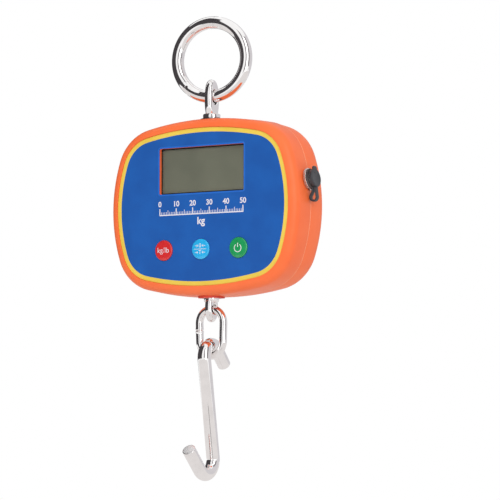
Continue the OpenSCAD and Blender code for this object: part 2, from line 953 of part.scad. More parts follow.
// The processor, the amplifier and the sockets that the leads plug into.
module board_chips() {
    color("black")
        in_body() {
            for (chip = [processor, amplifier])
                block([chip[0][0], board_back_y, chip[0][1]],
                    [chip[1][0], board_back_y + chip_t, chip[1][1]]);
            for (plug = [cell_plug, battery_plug, inlet_plug])
                block([plug[0] - plug_w / 2, board_back_y, plug[1] - plug_w / 2],
                    [plug[0] + plug_w / 2, board_back_y + plug_t, plug[1] + plug_w / 2]);
        }
}

module buzzer() {
    color("black")
        in_body()
            translate([-board_edge + buzzer_d, 0, board_z + board_h / 2 - buzzer_d])
                difference() {
                    along_y(board_back_y, board_back_y + buzzer_t, buzzer_d / 2);
                    along_y(board_back_y + buzzer_t - cut, board_back_y + buzzer_t + cut, buzzer_hole_d / 2);
                }
}

module board_screws() {
    color("silver")
        in_body()
            at_board_screws() {
                along_y(board_back_y, board_back_y + board_screw_head_t, board_screw_head_d / 2);
                along_y(inside_y + slip, board_back_y + sliver, board_screw_d / 2);
            }
}

module key_switches() {
    color("silver")
        in_body()
            at_keys()
                difference() {
                    block([-switch_w / 2, board_y - switch_t, -switch_w / 2],
                        [switch_w / 2, board_y, switch_w / 2]);
                    along_y(board_y - switch_t - cut, board_y + cut, stem_d / 2 + slip);
                }
}

module at_battery() {
    translate([0, battery_y, battery_z])
        children();
}

module battery() {
    tip_d = 6;
    tip_t = 1;
    color("steelblue")
        in_body()
            at_battery() {
                along_x(-battery_l / 2, battery_l / 2 - tip_t, battery_d / 2);
                along_x(battery_l / 2 - tip_t - sliver, battery_l / 2, tip_d / 2);
            }
}

module battery_holder() {
    color("black")
        in_body()
            at_battery()
                difference() {
                    block([-holder_l / 2, -battery_d / 4, -battery_d / 2 - holder_wall],
                        [holder_l / 2, floor_y - battery_y, battery_d / 2 + holder_wall]);
                    along_x(-holder_l / 2 + holder_wall, holder_l / 2 - holder_wall, battery_d / 2 + slip);
                    block([-holder_l / 2 + holder_wall, -battery_d, -battery_d / 2 - slip],
                        [holder_l / 2 - holder_wall, 0, battery_d / 2 + slip]);
                }
}

module battery_springs() {
    contact_w = battery_d / 2;
    color("silver")
        in_body()
            at_battery()
                for (side = [-1, 1])
                    translate([side * (battery_l / 2 + slip + contact_t / 2), 0, 0])
                        cube([contact_t, contact_w, contact_w], center = true);
}

module cell_lead() {
    x = cell_w / 2;
    color("white")
        in_body()
            lead([[x + 0.5, lead_y, 2], [x + 3, lead_y, 2], [x + 5, lead_y, 1],
                [cell_plug[0], lead_y, 2], [cell_plug[0], lead_y, cell_plug[1] - plug_w / 2]], [0, 1, 0]);
}

module battery_lead() {
    x = battery_plug[0];
    color("red")
        in_body()
            lead([[x, board_back_y + plug_t, battery_z], [x, lead_turn_y, battery_z],
                [x + 1, lead_turn_y + 4, battery_z], [x + 2, battery_y - 1, battery_z],
                [-holder_l / 2 - 1, battery_y, battery_z], [-holder_l / 2, battery_y, battery_z]], [0, 0, 1]);
}

module inlet_lead() {
    x = inlet_end[0] - lead_d / 2 * sin(inlet_tilt);
    z = inlet_end[1];
    color("red")
        in_body()
            lead([[x, inlet_y, z], [x - 2, inlet_y, z], [x - 4, inlet_y - 2, z],
                [inlet_plug[0] + plug_w, lead_y, z], [inlet_plug[0] + plug_w / 2, lead_y, z]], [0, 0, 1]);
}

// ---- Charging inlet and dust cap ----

// Puts things on the inlet's axis, square to the bowed wall, with X = 0 at the wall.
module at_inlet() {
    translate([body_w / 2 - side_bow_r, inlet_y, 0])
        rotate([0, -inlet_tilt, 0])
            translate([side_bow_r, 0, 0])
                children();
}

module charging_inlet() {
    color("silver")
        in_body()
            at_inlet() {
                difference() {
                    union() {
                        along_x(0, inlet_flange_t, inlet_flange_d / 2);
                        along_x(-inlet_l, sliver, inlet_barrel_d / 2);
                        along_x(0, nose_end, nose_d / 2);
                        along_x(nose_end - nose_lip_l, nose_end, nose_d / 2 + nose_lip);
                    }
                    along_x(nose_end - mouth_l, nose_end + cut, inlet_mouth_d / 2);
                    for (i = [0:grip_count - 1])
                        rotate([360 * i / grip_count, 0, 0])
                            translate([0, inlet_flange_d / 2 + grip_r / 3, 0])
                                along_x(-cut, inlet_flange_t + cut, grip_r);
                }
                along_x(nose_end - mouth_l - sliver, nose_end - pin_inset_l, inlet_pin_d / 2);
            }
}

module inlet_nut() {
    color("silver")
        in_body()
            at_inlet()
                translate([inlet_nut_out - inlet_nut_t, 0, 0])
                    rotate([0, 90, 0])
                        nut(inlet_nut_w, inlet_nut_t, inlet_barrel_d + 2 * fit);
}

// The rubber washer round the inlet's nose, which holds the cap's strap.
module cap_washer() {
    color("dimgray")
        in_body()
            at_inlet()
                difference() {
                    along_x(inlet_flange_t, inlet_flange_t + washer_t, washer_d / 2);
                    along_x(0, nose_end, nose_d / 2 + slip);
                }
}

// One side of the strap, as [across, up]: down from the washer, round the fold and up to the cap.
function turn(a) = [cos(a), sin(a)];
function fold_angle(p, side) =
    let (v = p - fold_centre)
    atan2(v[1], v[0]) + side * acos(fold_r / norm(v));
function strap_side(offset) =
    let (washer_mid = inlet_flange_t + washer_t / 2 + slip,
         knee = inlet_point(washer_mid, -inlet_flange_d / 2 - strap_t),
         end = inlet_point(cap_back + cap_t / 2, 0),
         a = fold_angle(knee, 1), b = fold_angle(end, -1) + 360)
    concat([inlet_point(washer_mid - offset, -nose_d / 2), knee + offset * unit(turn(a) - turn(inlet_tilt))],
        [for (i = [0:fold_steps]) fold_centre + (fold_r + offset) * turn(a + (b - a) * i / fold_steps)],
        [end + offset * turn(b)]);

module cap_strap() {
    color("dimgray")
        in_body()
            difference() {
                translate([0, inlet_y + strap_w / 2, 0])
                    rotate([90, 0, 0])
                        linear_extrude(strap_w)
                            polygon(concat(strap_side(strap_t / 2), backwards(strap_side(-strap_t / 2))));
                at_inlet() {
                    along_x(0, nose_end, washer_d / 2 + slip);
                    along_x(nose_end - cut, cap_front + cut, cap_d / 2 + slip);
                }
            }
}

module dust_cap() {
    color("black")
        in_body()
            at_inlet()
                difference() {
                    union() {
                        along_x(cap_back, cap_front, cap_d / 2);
                        along_x(cap_back - spigot_l, cap_back + sliver, spigot_d / 2);
                        block([cap_back + cap_t / 2, -strap_w / 2, 0],
                            [cap_front, strap_w / 2, cap_d / 2 + tab_l]);
                    }
                    along_x(cap_back - 2 * spigot_l, cap_back, spigot_bore_d / 2);
                }
}

// ---- Link and hook ----

// A rod bent round [y, z] from one angle to another, in the plane across X.
module bend(centre, r, from, to, rod_r) {
    translate([0, centre[0], centre[1]])
        rotate([90, 0, 90])
            rotate([0, 0, from])
                rotate_extrude(angle = to - from, $fn = 96)
                    translate([r, 0])
                        circle(rod_r);
}

module rod(from, to, rod_r) {
    v = to - from;
    translate([0, from[0], from[1]])
        rotate([-atan2(v[0], v[1]), 0, 0])
            cylinder(h = norm(v), r = rod_r);
}

module chain_link() {
    half = link_straight / 2;
    color("gainsboro")
        translate([0, 0, link_z - link_bend_r - half])
            rotate([0, 0, 90]) {
                bend([0, half], link_bend_r, 0, 180, link_wire_r);
                bend([0, -half], link_bend_r, 180, 360, link_wire_r);
                for (side = [-1, 1])
                    rod([side * link_bend_r, -half], [side * link_bend_r, half], link_wire_r);
            }
}

// The middle line of the hook as [y, z], from its stub round to its tip.
function on_circle(a) = [cos(a), sin(a)];
function past_circle(a) = [sin(a), -cos(a)];
function hook_line() =
    let (top = [0, hook_bend_z],
         low = top - (hook_top_r + hook_low_r) * on_circle(shank_lean) + shank_l * past_circle(shank_lean),
         tip = low + hook_low_r * on_circle(tip_angle))
    concat([top + hook_top_r * on_circle(stub_angle) + stub_l * past_circle(stub_angle)],
        arc_points(top, hook_top_r, stub_angle, 180 + shank_lean, hook_steps),
        [top - hook_top_r * on_circle(shank_lean)],
        arc_points(low, hook_low_r, shank_lean, tip_angle - 360, hook_steps),
        [tip, tip + tip_l * past_circle(tip_angle)]);

module load_hook() {
    color("gainsboro")
        tube([for (p = hook_line()) [0, p[0], p[1]]], [1, 0, 0], hook_rod_r, hook_sides);
}

ring_body();
ring_gate();
gate_pin();
gate_spring();
top_eye_bolt();
top_lock_nut();
load_cell();
strain_gauges();
bottom_eye_bolt();
bottom_lock_nut();
cell_bracket();
bracket_screws();
front_shell();
rear_shell();
seam_gasket();
shell_screws();
top_collar();
bottom_collar();
face_overlay();
display_window();
display_panel();
display_frame();
main_board();
board_chips();
buzzer();
board_screws();
key_switches();
unit_key();
zero_key();
power_key();
battery();
battery_holder();
battery_springs();
charging_inlet();
inlet_nut();
cap_washer();
cap_strap();
dust_cap();
cell_lead();
battery_lead();
inlet_lead();
chain_link();
load_hook();
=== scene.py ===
import json
import math

import bmesh
import bpy
from mathutils import Matrix, Vector


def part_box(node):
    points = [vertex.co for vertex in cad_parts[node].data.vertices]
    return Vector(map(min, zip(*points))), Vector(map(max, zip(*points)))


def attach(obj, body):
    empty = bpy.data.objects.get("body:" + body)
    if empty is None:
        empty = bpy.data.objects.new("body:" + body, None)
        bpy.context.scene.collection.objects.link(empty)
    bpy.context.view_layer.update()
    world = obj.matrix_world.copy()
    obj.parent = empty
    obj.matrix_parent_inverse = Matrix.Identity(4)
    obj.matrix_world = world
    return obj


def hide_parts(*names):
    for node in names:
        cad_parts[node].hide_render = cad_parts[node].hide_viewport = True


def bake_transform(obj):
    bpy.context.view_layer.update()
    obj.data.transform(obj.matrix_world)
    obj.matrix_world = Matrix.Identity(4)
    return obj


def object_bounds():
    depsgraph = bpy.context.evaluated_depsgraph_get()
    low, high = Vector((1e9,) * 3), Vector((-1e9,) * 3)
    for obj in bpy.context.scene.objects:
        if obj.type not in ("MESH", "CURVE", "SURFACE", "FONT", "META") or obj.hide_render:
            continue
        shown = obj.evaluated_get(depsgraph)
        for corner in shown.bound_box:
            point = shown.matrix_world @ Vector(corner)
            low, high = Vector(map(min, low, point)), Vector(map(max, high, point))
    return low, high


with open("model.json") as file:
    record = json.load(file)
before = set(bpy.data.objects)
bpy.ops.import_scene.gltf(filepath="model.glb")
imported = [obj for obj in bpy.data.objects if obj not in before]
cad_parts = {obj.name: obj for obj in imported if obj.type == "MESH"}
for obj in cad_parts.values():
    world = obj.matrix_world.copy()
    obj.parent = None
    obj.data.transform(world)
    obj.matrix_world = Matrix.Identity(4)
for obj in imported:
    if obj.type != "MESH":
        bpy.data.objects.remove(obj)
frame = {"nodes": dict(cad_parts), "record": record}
cad_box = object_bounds()

# Sizes and places below are in millimetres, and become metres when a mesh is made.
MM = 0.001
X, Y, Z = Vector((1, 0, 0)), Vector((0, 1, 0)), Vector((0, 0, 1))


# ---- Places taken from the frame ----

def low(node):
    """The lowest X, Y and Z that a node reaches."""
    return Vector(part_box(node)[0]) / MM


def high(node):
    """The highest X, Y and Z that a node reaches."""
    return Vector(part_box(node)[1]) / MM


def middle(node):
    return (low(node) + high(node)) / 2


def mount(name):
    """A mount's place and the direction that it faces."""
    found = next(m for m in frame["record"]["mounts"] if m["name"] == name)
    return Vector(found["pos_m"]) / MM, Vector(found["axis"])


BODY_W = high("front_shell").x - low("front_shell").x
BODY_H = high("front_shell").z - low("front_shell").z
BODY_Z = middle("front_shell").z
OVERLAY_Y = low("face_overlay").y
PLATE_Y = high("face_overlay").y
RIM_Y = OVERLAY_Y - 0.8
INSIDE_Y = low("display_window").y
PARTING_Y = high("front_shell").y
BACK_Y = high("rear_shell").y

KEYS = ("unit_key", "zero_key", "power_key")

# The housing's form
TOP_BOW_R, SIDE_BOW_R, CORNER_R = 226, 112, 32.8
FRONT_ROUND, FRONT_DRAFT = 7, 0.8
REAR_ROUND, REAR_DRAFT = 11, 0.7
WALL = 2.6
OVERLAY_INSET = 7.6
BORDER_W = 3.1
WINDOW_W, WINDOW_H, WINDOW_R = 69.1, 32.3, 1
KEY_D, KEY_GAP = 14.3, 0.2
RING_TURN = math.radians(8)
SEAM_STEP = 0.16
LIP = 0.25              # rounding of the shells' edges at the seam
INK_T = 0.03
SCREW_R = 2.8


# ---- Camera ----

def place_camera():
    """A long lens to the right of the face and a little below its middle, looking slightly up."""
    camera = bpy.data.objects.new("camera", bpy.data.cameras.new("camera"))
    bpy.context.collection.objects.link(camera)
    bpy.context.scene.camera = camera
    place = Vector((758.2, -1209.9, -254.4)) * MM
    ahead = Vector((-0.51381, 0.85513, 0.06889)).normalized()
    camera.location = place
    camera.rotation_mode = "QUATERNION"
    camera.rotation_quaternion = ahead.to_track_quat("-Z", "Y")
    camera.data.lens = 147.8
    camera.data.sensor_width = 36
    camera.data.clip_start = 0.05
    camera.data.clip_end = 50


# ---- Materials ----

class Value:
    """A socket of a shader node. Arithmetic on it adds Math nodes."""

    def __init__(self, nodes, socket):
        self.nodes = nodes
        self.socket = socket

    def __add__(self, other):
        return self.nodes.maths("ADD", self, other)

    def __mul__(self, other):
        return self.nodes.maths("MULTIPLY", self, other)

    __radd__ = __add__
    __rmul__ = __mul__


class Nodes:
    """A node tree and the ways to add to it."""

    def __init__(self, tree):
        self.tree = tree

    def node(self, kind, settings=None, inputs=None, output=0):
        """Adds a node with its settings, then the values or links of its sockets."""
        made = self.tree.nodes.new("ShaderNode" + kind)
        for key, value in (settings or {}).items():
            setattr(made, key, value)
        for key, value in (inputs or {}).items():
            self.feed(made.inputs[key], value)
        return Value(self, made.outputs[output])

    def feed(self, target, value):
        """Links a Value to a socket, or sets the socket to a constant."""
        if isinstance(value, Value):
            self.tree.links.new(value.socket, target)
        else:
            target.default_value = value

    def maths(self, operation, a, b):
        return self.node("Math", {"operation": operation}, {0: a, 1: b})

    def remap(self, value, a, b, to_a, to_b):
        """Turns the range a to b into to_a to to_b, and holds what lies outside at its ends."""
        return self.node("MapRange", {"clamp": True}, {
            "Value": value, "From Min": a, "From Max": b, "To Min": to_a, "To Max": to_b})


class Paint(Nodes):
    """One material, its Principled shader and the nodes that feed it."""

    def __init__(self, name, **constants):
        self.material = bpy.data.materials.new(name)
        self.material.use_nodes = True
        super().__init__(self.material.node_tree)
        self.shader = self.tree.nodes["Principled BSDF"]
        for key, value in constants.items():
            self.shader.inputs[key.replace("_", " ")].default_value = value

    def place(self):
        """Where a point of the surface lies in its object, in metres."""
        return self.node("TexCoord", output="Object")

    def noise(self, size, detail=2.0, roughness=0.5, stretch=(1, 1, 1)):
        """Noise whose features measure about size, in millimetres."""
        where = self.node("Mapping", {}, {"Vector": self.place(), "Scale": stretch})
        return self.node("TexNoise", {}, {"Vector": where, "Scale": 1 / (size * MM),
                                          "Detail": detail, "Roughness": roughness})

    def mix(self, factor, a, b):
        """Colour a where the factor is 0, and b where it is 1."""
        a = a if isinstance(a, Value) else (*a, 1)
        b = b if isinstance(b, Value) else (*b, 1)
        return self.node("Mix", {"data_type": "RGBA"}, {0: factor, 6: a, 7: b}, output=2)

    def colour(self, value):
        self.feed(self.shader.inputs["Base Color"], value if isinstance(value, Value) else (*value, 1))

    def roughness(self, value):
        self.feed(self.shader.inputs["Roughness"], value)

    def surface(self, value):
        """Puts another shader in place of the Principled one."""
        self.feed(self.tree.nodes["Material Output"].inputs["Surface"], value)

    def bump(self, height, depth, strength):
        """Bump of about depth, in millimetres."""
        normal = self.node("Bump", {}, {"Height": height, "Distance": depth * MM, "Strength": strength})
        self.feed(self.shader.inputs["Normal"], normal)


def srgb(red, green, blue):
    """A colour as a screen shows it, 0 to 255, turned into the shader's linear values."""
    def linear(value):
        share = value / 255
        return share / 12.92 if share <= 0.04045 else ((share + 0.055) / 1.055) ** 2.4
    return tuple(linear(value) for value in (red, green, blue))


def moulded(name, colour, shade, rough, grain, depth, **constants):
    """Moulded plastic or rubber: fine grain, slight unevenness of colour and gloss."""
    paint = Paint(name, **constants)
    cloud = paint.noise(25, 3)
    fine = paint.noise(grain, 2)
    paint.colour(paint.mix(paint.remap(cloud, 0.35, 0.65, 0, 1), shade, colour))
    paint.roughness(paint.remap(fine, 0.3, 0.7, rough - 0.05, rough + 0.05))
    paint.bump(fine + cloud * 0.5, depth, 0.6)
    return paint


def orange_plastic():
    return moulded("orange_shell", srgb(252, 116, 58), srgb(248, 109, 52), 0.42, 0.45, 0.02,
                   Specular_IOR_Level=0.36)


def black_rubber():
    return moulded("black_rubber", srgb(58, 59, 64), srgb(46, 46, 50), 0.42, 0.3, 0.03)


def black_plastic():
    return moulded("black_plastic", srgb(38, 38, 40), srgb(30, 30, 32), 0.4, 0.4, 0.02)


def film(name, colour, shade):
    """Printed satin film: dead flat, with faint mottling and a fine matt texture."""
    paint = Paint(name, Specular_IOR_Level=0.25)
    paint.colour(paint.mix(paint.remap(paint.noise(18, 3), 0.35, 0.65, 0, 1), shade, colour))
    fine = paint.noise(0.25, 2)
    paint.roughness(paint.remap(fine, 0.3, 0.7, 0.36, 0.46))
    paint.bump(fine, 0.006, 0.5)
    return paint


def bright_metal(name, tint, rough, scratch):
    """Plated or polished metal: soft waves, faint drawing lines and a little haze."""
    paint = Paint(name, Metallic=1.0)
    haze = paint.noise(6, 4, 0.6)
    lines = paint.noise(0.35, 2, 0.5, (1, 1, 0.12))
    paint.colour(paint.mix(paint.remap(haze, 0.4, 0.7, 0, 1), tint, [part * 0.93 for part in tint]))
    paint.roughness(paint.remap(haze + lines * 0.5, 0.55, 1.0, rough, rough + 0.06))
    paint.bump(paint.noise(9, 1) + lines * scratch, 0.05, 0.2)
    return paint


def chrome():
    return bright_metal("polished_steel", (0.95, 0.935, 0.93), 0.03, 0.008)


def nickel():
    return bright_metal("plated_steel", (0.72, 0.71, 0.70), 0.18, 0.1)


def spring_wire():
    return bright_metal("spring_steel", (0.55, 0.55, 0.56), 0.28, 0.2)


def milled_aluminium():
    return bright_metal("cell_aluminium", (0.76, 0.77, 0.78), 0.32, 0.4)


def gauge_foil():
    """Amber foil with the fine meander of a gauge."""
    paint = Paint("gauge_film", Roughness=0.35)
    lines = paint.node("TexWave", {"wave_type": "BANDS", "bands_direction": "Y"},
                       {"Vector": paint.place(), "Scale": 2200.0, "Distortion": 0.0}, output=1)
    paint.colour(paint.mix(paint.remap(lines, 0.5, 0.6, 0, 1), (0.62, 0.36, 0.12), (0.45, 0.24, 0.10)))
    return paint


def display_glass():
    """The display when off: olive grey, clouded a shade darker, with a faint weave of electrodes."""
    paint = Paint("display_glass", Specular_IOR_Level=0.35, Coat_Weight=0.3, Coat_Roughness=0.12)
    cloud = paint.noise(30, 2)
    weave = paint.noise(0.6, 1)
    paint.colour(paint.mix(paint.remap(cloud + weave * 0.1, 0.35, 0.75, 0, 1), srgb(142, 144, 126),
                           srgb(128, 130, 114)))
    paint.roughness(paint.remap(weave, 0.3, 0.7, 0.3, 0.36))
    return paint


def clear_window():
    """Clear acrylic: light passes, and the surface mirrors a little, more at a low angle."""
    paint = Paint("clear_window")
    gloss = paint.node("BsdfGlossy", {}, {"Roughness": 0.03})
    clear = paint.node("BsdfTransparent")
    smear = paint.remap(paint.noise(12, 3), 0.4, 0.7, 0, 0.02)
    edge = paint.node("Fresnel", {}, {"IOR": 1.42}) * 0.8 + smear
    paint.surface(paint.node("MixShader", {}, {0: edge, 1: clear, 2: gloss}))
    return paint


def circuit_board():
    """Green solder mask with copper tracks under it."""
    paint = Paint("circuit_board", Roughness=0.3)
    tracks = paint.node("TexVoronoi", {"feature": "DISTANCE_TO_EDGE", "distance": "MANHATTAN"},
                        {"Vector": paint.place(), "Scale": 220.0})
    on_track = paint.remap(tracks, 0.04, 0.06, 1, 0)
    paint.colour(paint.mix(on_track, srgb(24, 92, 52), srgb(48, 132, 72)))
    paint.bump(on_track, 0.03, 0.5)
    return paint


def key_plastic(name, colour, shade):
    """Glossy lacquered plastic, a slightly deeper colour where the moulding is uneven."""
    paint = Paint(name, Coat_Weight=1.0, Coat_Roughness=0.06, Specular_IOR_Level=0.5)
    cloud = paint.noise(4, 3)
    paint.colour(paint.mix(paint.remap(cloud, 0.35, 0.7, 0, 1), colour, shade))
    paint.roughness(paint.remap(cloud, 0.3, 0.7, 0.2, 0.28))
    paint.bump(paint.noise(1.6, 2), 0.02, 0.4)
    return paint


def ink(name, colour):
    """Screen-printed ink: a trace of weave and thin spots."""
    paint = Paint(name, Specular_IOR_Level=0.3)
    spots = paint.noise(0.3, 2)
    paint.colour(paint.mix(paint.remap(spots, 0.45, 0.75, 0, 0.35), colour, [part * 0.7 for part in colour]))
    paint.roughness(paint.remap(spots, 0.3, 0.7, 0.4, 0.5))
    return paint


def sleeve(name, colour):
    """Shrink sleeve or cable jacket."""
    return moulded(name, colour, [part * 0.8 for part in colour], 0.32, 0.8, 0.02)


# The finish of each material slot of the frame, then the finishes that only this scene has.
FINISHES = {
    "polished_steel": chrome(),
    "plated_steel": nickel(),
    "spring_steel": spring_wire(),
    "cell_aluminium": milled_aluminium(),
    "gauge_film": gauge_foil(),
    "orange_shell": orange_plastic(),
    "black_rubber": black_rubber(),
    "overlay_film": film("overlay_film", srgb(20, 91, 174), srgb(18, 84, 165)),
    "clear_window": clear_window(),
    "display_glass": display_glass(),
    "black_plastic": black_plastic(),
    "circuit_board": circuit_board(),
    "red_key": key_plastic("red_key", srgb(218, 38, 38), srgb(205, 30, 34)),
    "blue_key": key_plastic("blue_key", srgb(30, 180, 238), srgb(24, 168, 228)),
    "green_key": key_plastic("green_key", srgb(22, 158, 88), srgb(18, 146, 80)),
    "battery_wrap": sleeve("battery_wrap", (0.08, 0.2, 0.5)),
    "white_lead": sleeve("white_lead", (0.8, 0.8, 0.78)),
    "red_lead": sleeve("red_lead", (0.6, 0.03, 0.02)),
}
SAWN_END = bright_metal("sawn_end", (0.95, 0.94, 0.94), 0.3, 2.5)
WASHER_RUBBER = moulded("washer_rubber", srgb(86, 76, 76), srgb(70, 62, 62), 0.5, 0.3, 0.03)
# Dark red for the lower collar: painted shade, for the shade that falls under the housing.
COLLAR_PAINTED_SHADE = moulded("collar_painted_shade", srgb(214, 62, 34), srgb(204, 56, 32), 0.42, 0.45, 0.02)
# Pale orange for the seam's bead: a painted highlight along the parting line.
SEAM_PAINTED_HIGHLIGHT = moulded("seam_painted_highlight", srgb(255, 186, 146), srgb(255, 178, 138), 0.4, 0.45, 0.01)
BORDER_FILM = film("border_film", srgb(236, 206, 84), srgb(230, 198, 76))
WINDOW_LIP = film("window_lip", srgb(30, 106, 200), srgb(26, 98, 190))
WHITE_INK = ink("white_ink", srgb(232, 226, 232))
BLACK_INK = ink("black_ink", srgb(30, 28, 30))


def finish_frame():
    """Gives every solid of the frame the finish of its slot, and the lower collar a dark red that paints in
    the shade under the housing.
    """
    for solid in frame["nodes"].values():
        for slot in solid.material_slots:
            slot.material = FINISHES[slot.material.name].material
    frame["nodes"]["bottom_collar"].material_slots[0].material = COLLAR_PAINTED_SHADE.material


# ---- Making pieces ----

def piece(name, points, faces):
    """A mesh from points in millimetres, with its normals outward."""
    mesh = bpy.data.meshes.new(name)
    mesh.from_pydata([Vector(point) * MM for point in points], [], faces)
    shape = bmesh.new()
    shape.from_mesh(mesh)
    bmesh.ops.recalc_face_normals(shape, faces=shape.faces)
    shape.to_mesh(mesh)
    shape.free()
    made = bpy.data.objects.new(name, mesh)
    bpy.context.collection.objects.link(made)
    return made


def shape_of(made):
    """The mesh of a piece with its modifiers applied."""
    bpy.context.view_layer.update()
    graph = bpy.context.evaluated_depsgraph_get()
    return bpy.data.meshes.new_from_object(made.evaluated_get(graph), depsgraph=graph)


def settle(made):
    """Applies a piece's modifiers."""
    mesh = shape_of(made)
    made.modifiers.clear()
    made.data = mesh


def remove(*objects):
    for unwanted in objects:
        bpy.data.objects.remove(unwanted, do_unlink=True)


def combine(made, others, operation):
    """Cuts the others from a piece, or joins them to it."""
    for other in others:
        change = made.modifiers.new(operation.lower(), "BOOLEAN")
        change.operation = operation
        change.solver = "EXACT"
        change.object = other
    settle(made)
    remove(*others)
    return made


def soften(made, width, segments):
    """Rounds a piece's sharp edges."""
    change = made.modifiers.new("soften", "BEVEL")
    change.width = width * MM
    change.segments = segments
    change.limit_method = "ANGLE"
    change.angle_limit = math.radians(40)
    change.miter_outer = "MITER_ARC"
    change.use_clamp_overlap = True
    settle(made)
    return made


def finish(made, body, paint, stands_for=(), angle=35):
    """Smooths a piece, gives it its material and lets it ride on its body."""
    made.data.shade_smooth()
    made.data.set_sharp_from_angle(angle=math.radians(angle))
    made.data.materials.clear()
    made.data.materials.append(paint.material)
    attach(made, body)
    if stands_for:
        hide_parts(*stands_for)
    return made


def loft(name, rings, closed=False):
    """A skin over rings of equally many points, closed into a loop or capped at both ends."""
    count, total = len(rings[0]), len(rings)
    points = [point for ring in rings for point in ring]
    faces = []
    for i in range(total if closed else total - 1):
        a, b = i * count, (i + 1) % total * count
        for k in range(count):
            after = (k + 1) % count
            faces.append([a + k, a + after, b + after, b + k])
    if not closed:
        faces.append(list(range(count)))
        faces.append([(total - 1) * count + k for k in range(count)])
    return piece(name, points, faces)


def circle(radius, sides):
    """Points on a circle as [across, up]."""
    return [(radius * math.cos(math.tau * k / sides), radius * math.sin(math.tau * k / sides))
            for k in range(sides)]


def along(path, flat, sections, closed=False):
    """A ring round each point of a flat path. A section is a list of [sideways, along flat]."""
    rings, total = [], len(path)
    for i, point in enumerate(path):
        before = path[i - 1] if i or closed else point
        after = path[(i + 1) % total] if i + 1 < total or closed else point
        side = (after - before).normalized().cross(flat)
        rings.append([point + side * u + flat * v for u, v in sections[i]])
    return rings


def flat_section(half_w, half_t):
    """A thin rectangle as the section of a printed line."""
    return [(-half_w, -half_t), (half_w, -half_t), (half_w, half_t), (-half_w, half_t)]


def quarter_round(radius, steps):
    """Steps of a rounded edge, as [distance ahead, loss of radius]."""
    return [(radius * math.sin(a), radius * (1 - math.cos(a)))
            for a in (math.pi / 2 * k / steps for k in range(1, steps + 1))]


def rod(name, path, flat, radius, first_round, last_round, sides=48):
    """A round rod along a flat path, with rounded rims at its two ends."""
    first = (path[0] - path[1]).normalized()
    last = (path[-1] - path[-2]).normalized()
    start, end = path[0] - first * first_round, path[-1] - last * last_round
    head, foot = quarter_round(first_round, 6), quarter_round(last_round, 6)
    places = [start + first * ahead for ahead, loss in reversed(head)] + [start] + path[1:-1] + [end]
    places += [end + last * ahead for ahead, loss in foot]
    radii = [radius - loss for ahead, loss in reversed(head)] + [radius] * len(path)
    radii += [radius - loss for ahead, loss in foot]
    return loft(name, along(places, flat, [circle(r, sides) for r in radii]))


def turned(name, profile, centre, axis, sides=96):
    """A lathed piece. The profile is a list of [radius, place along the axis]."""
    side = axis.cross(Y if abs(axis.dot(Y)) < 0.9 else Z).normalized()
    other = axis.cross(side)
    rings = []
    for radius, place in profile:
        section = circle(max(radius, 0.001), sides)
        rings.append([centre + axis * place + side * u + other * v for u, v in section])
    return loft(name, rings)


def extruded(name, loop, origin, across, up, thickness):
    """A flat loop of [across, up] points given a thickness, centred on the origin's plane."""
    normal = across.cross(up)
    rings = [[origin + across * u + up * v + normal * side * thickness / 2 for u, v in loop]
             for side in (-1, 1)]
    return loft(name, rings)


def rounded_slab(name, loop, origin, across, up, thickness, edge, steps=8):
    """As extruded, with both rims of the loop rounded by edge, apart from its straight foot."""
    normal = across.cross(up)
    points = [Vector(p) for p in loop]
    foot = min(point.y for point in points)
    inward = []
    for k, point in enumerate(points):
        ahead = (points[(k + 1) % len(points)] - points[k - 1]).normalized()
        at_foot = point.y < foot + 0.001
        inward.append(Vector((-math.copysign(1, point.x), 0)) if at_foot else Vector((-ahead.y, ahead.x)))
    turns = [math.pi / 2 * k / steps for k in range(steps + 1)]
    section = [(edge * (1 - math.sin(a)), edge * (1 - math.cos(a)) - thickness / 2) for a in turns]
    section += [(inset, -depth) for inset, depth in reversed(section)]
    rings = []
    for inset, depth in section:
        moved = [point + way * inset for point, way in zip(points, inward)]
        rings.append([origin + across * p.x + up * p.y + normal * depth for p in moved])
    return loft(name, rings)


def rounded_rectangle(w, h, r, steps=6):
    """A rectangle with round corners as [across, up]."""
    loop = []
    for x, z, start in ((1, 1, 0), (-1, 1, 90), (-1, -1, 180), (1, -1, 270)):
        for k in range(steps + 1):
            a = math.radians(start + 90 * k / steps)
            loop.append((x * (w / 2 - r) + r * math.cos(a), z * (h / 2 - r) + r * math.sin(a)))
    return loop


def words(name, text, size, bold, place):
    """Flat printed characters, centred on a place and facing forward. bold widens their lines."""
    curve = bpy.data.curves.new(name, "FONT")
    curve.body = text
    curve.size = size * MM
    curve.align_x = "CENTER"
    curve.align_y = "CENTER"
    curve.offset = bold * MM
    curve.extrude = INK_T * MM / 2
    made = bpy.data.objects.new(name, curve)
    bpy.context.collection.objects.link(made)
    made.matrix_world = Matrix.Translation(place * MM) @ Matrix.Rotation(math.pi / 2, 4, "X")
    mesh = shape_of(made)
    mesh.transform(made.matrix_world)
    remove(made)
    flat = bpy.data.objects.new(name, mesh)
    bpy.context.collection.objects.link(flat)
    return flat


# ---- Housing ----

def arc(centre, radius, start, end, steps):
    """Points on an arc, without its last."""
    return [centre + radius * Vector((math.cos(start + (end - start) * k / steps),
                                      math.sin(start + (end - start) * k / steps))) for k in range(steps)]


def corner_centre():
    """The centre of the corner's arc, which touches the bows of the top and the side from inside."""
    top, side = Vector((0, BODY_H / 2 - TOP_BOW_R)), Vector((BODY_W / 2 - SIDE_BOW_R, 0))
    span = side - top
    far, near = TOP_BOW_R - CORNER_R, SIDE_BOW_R - CORNER_R
    reach = (far ** 2 - near ** 2 + span.length ** 2) / (2 * span.length)
    ahead = span.normalized()
    return top + ahead * reach + math.sqrt(far ** 2 - reach ** 2) * Vector((ahead.y, -ahead.x))


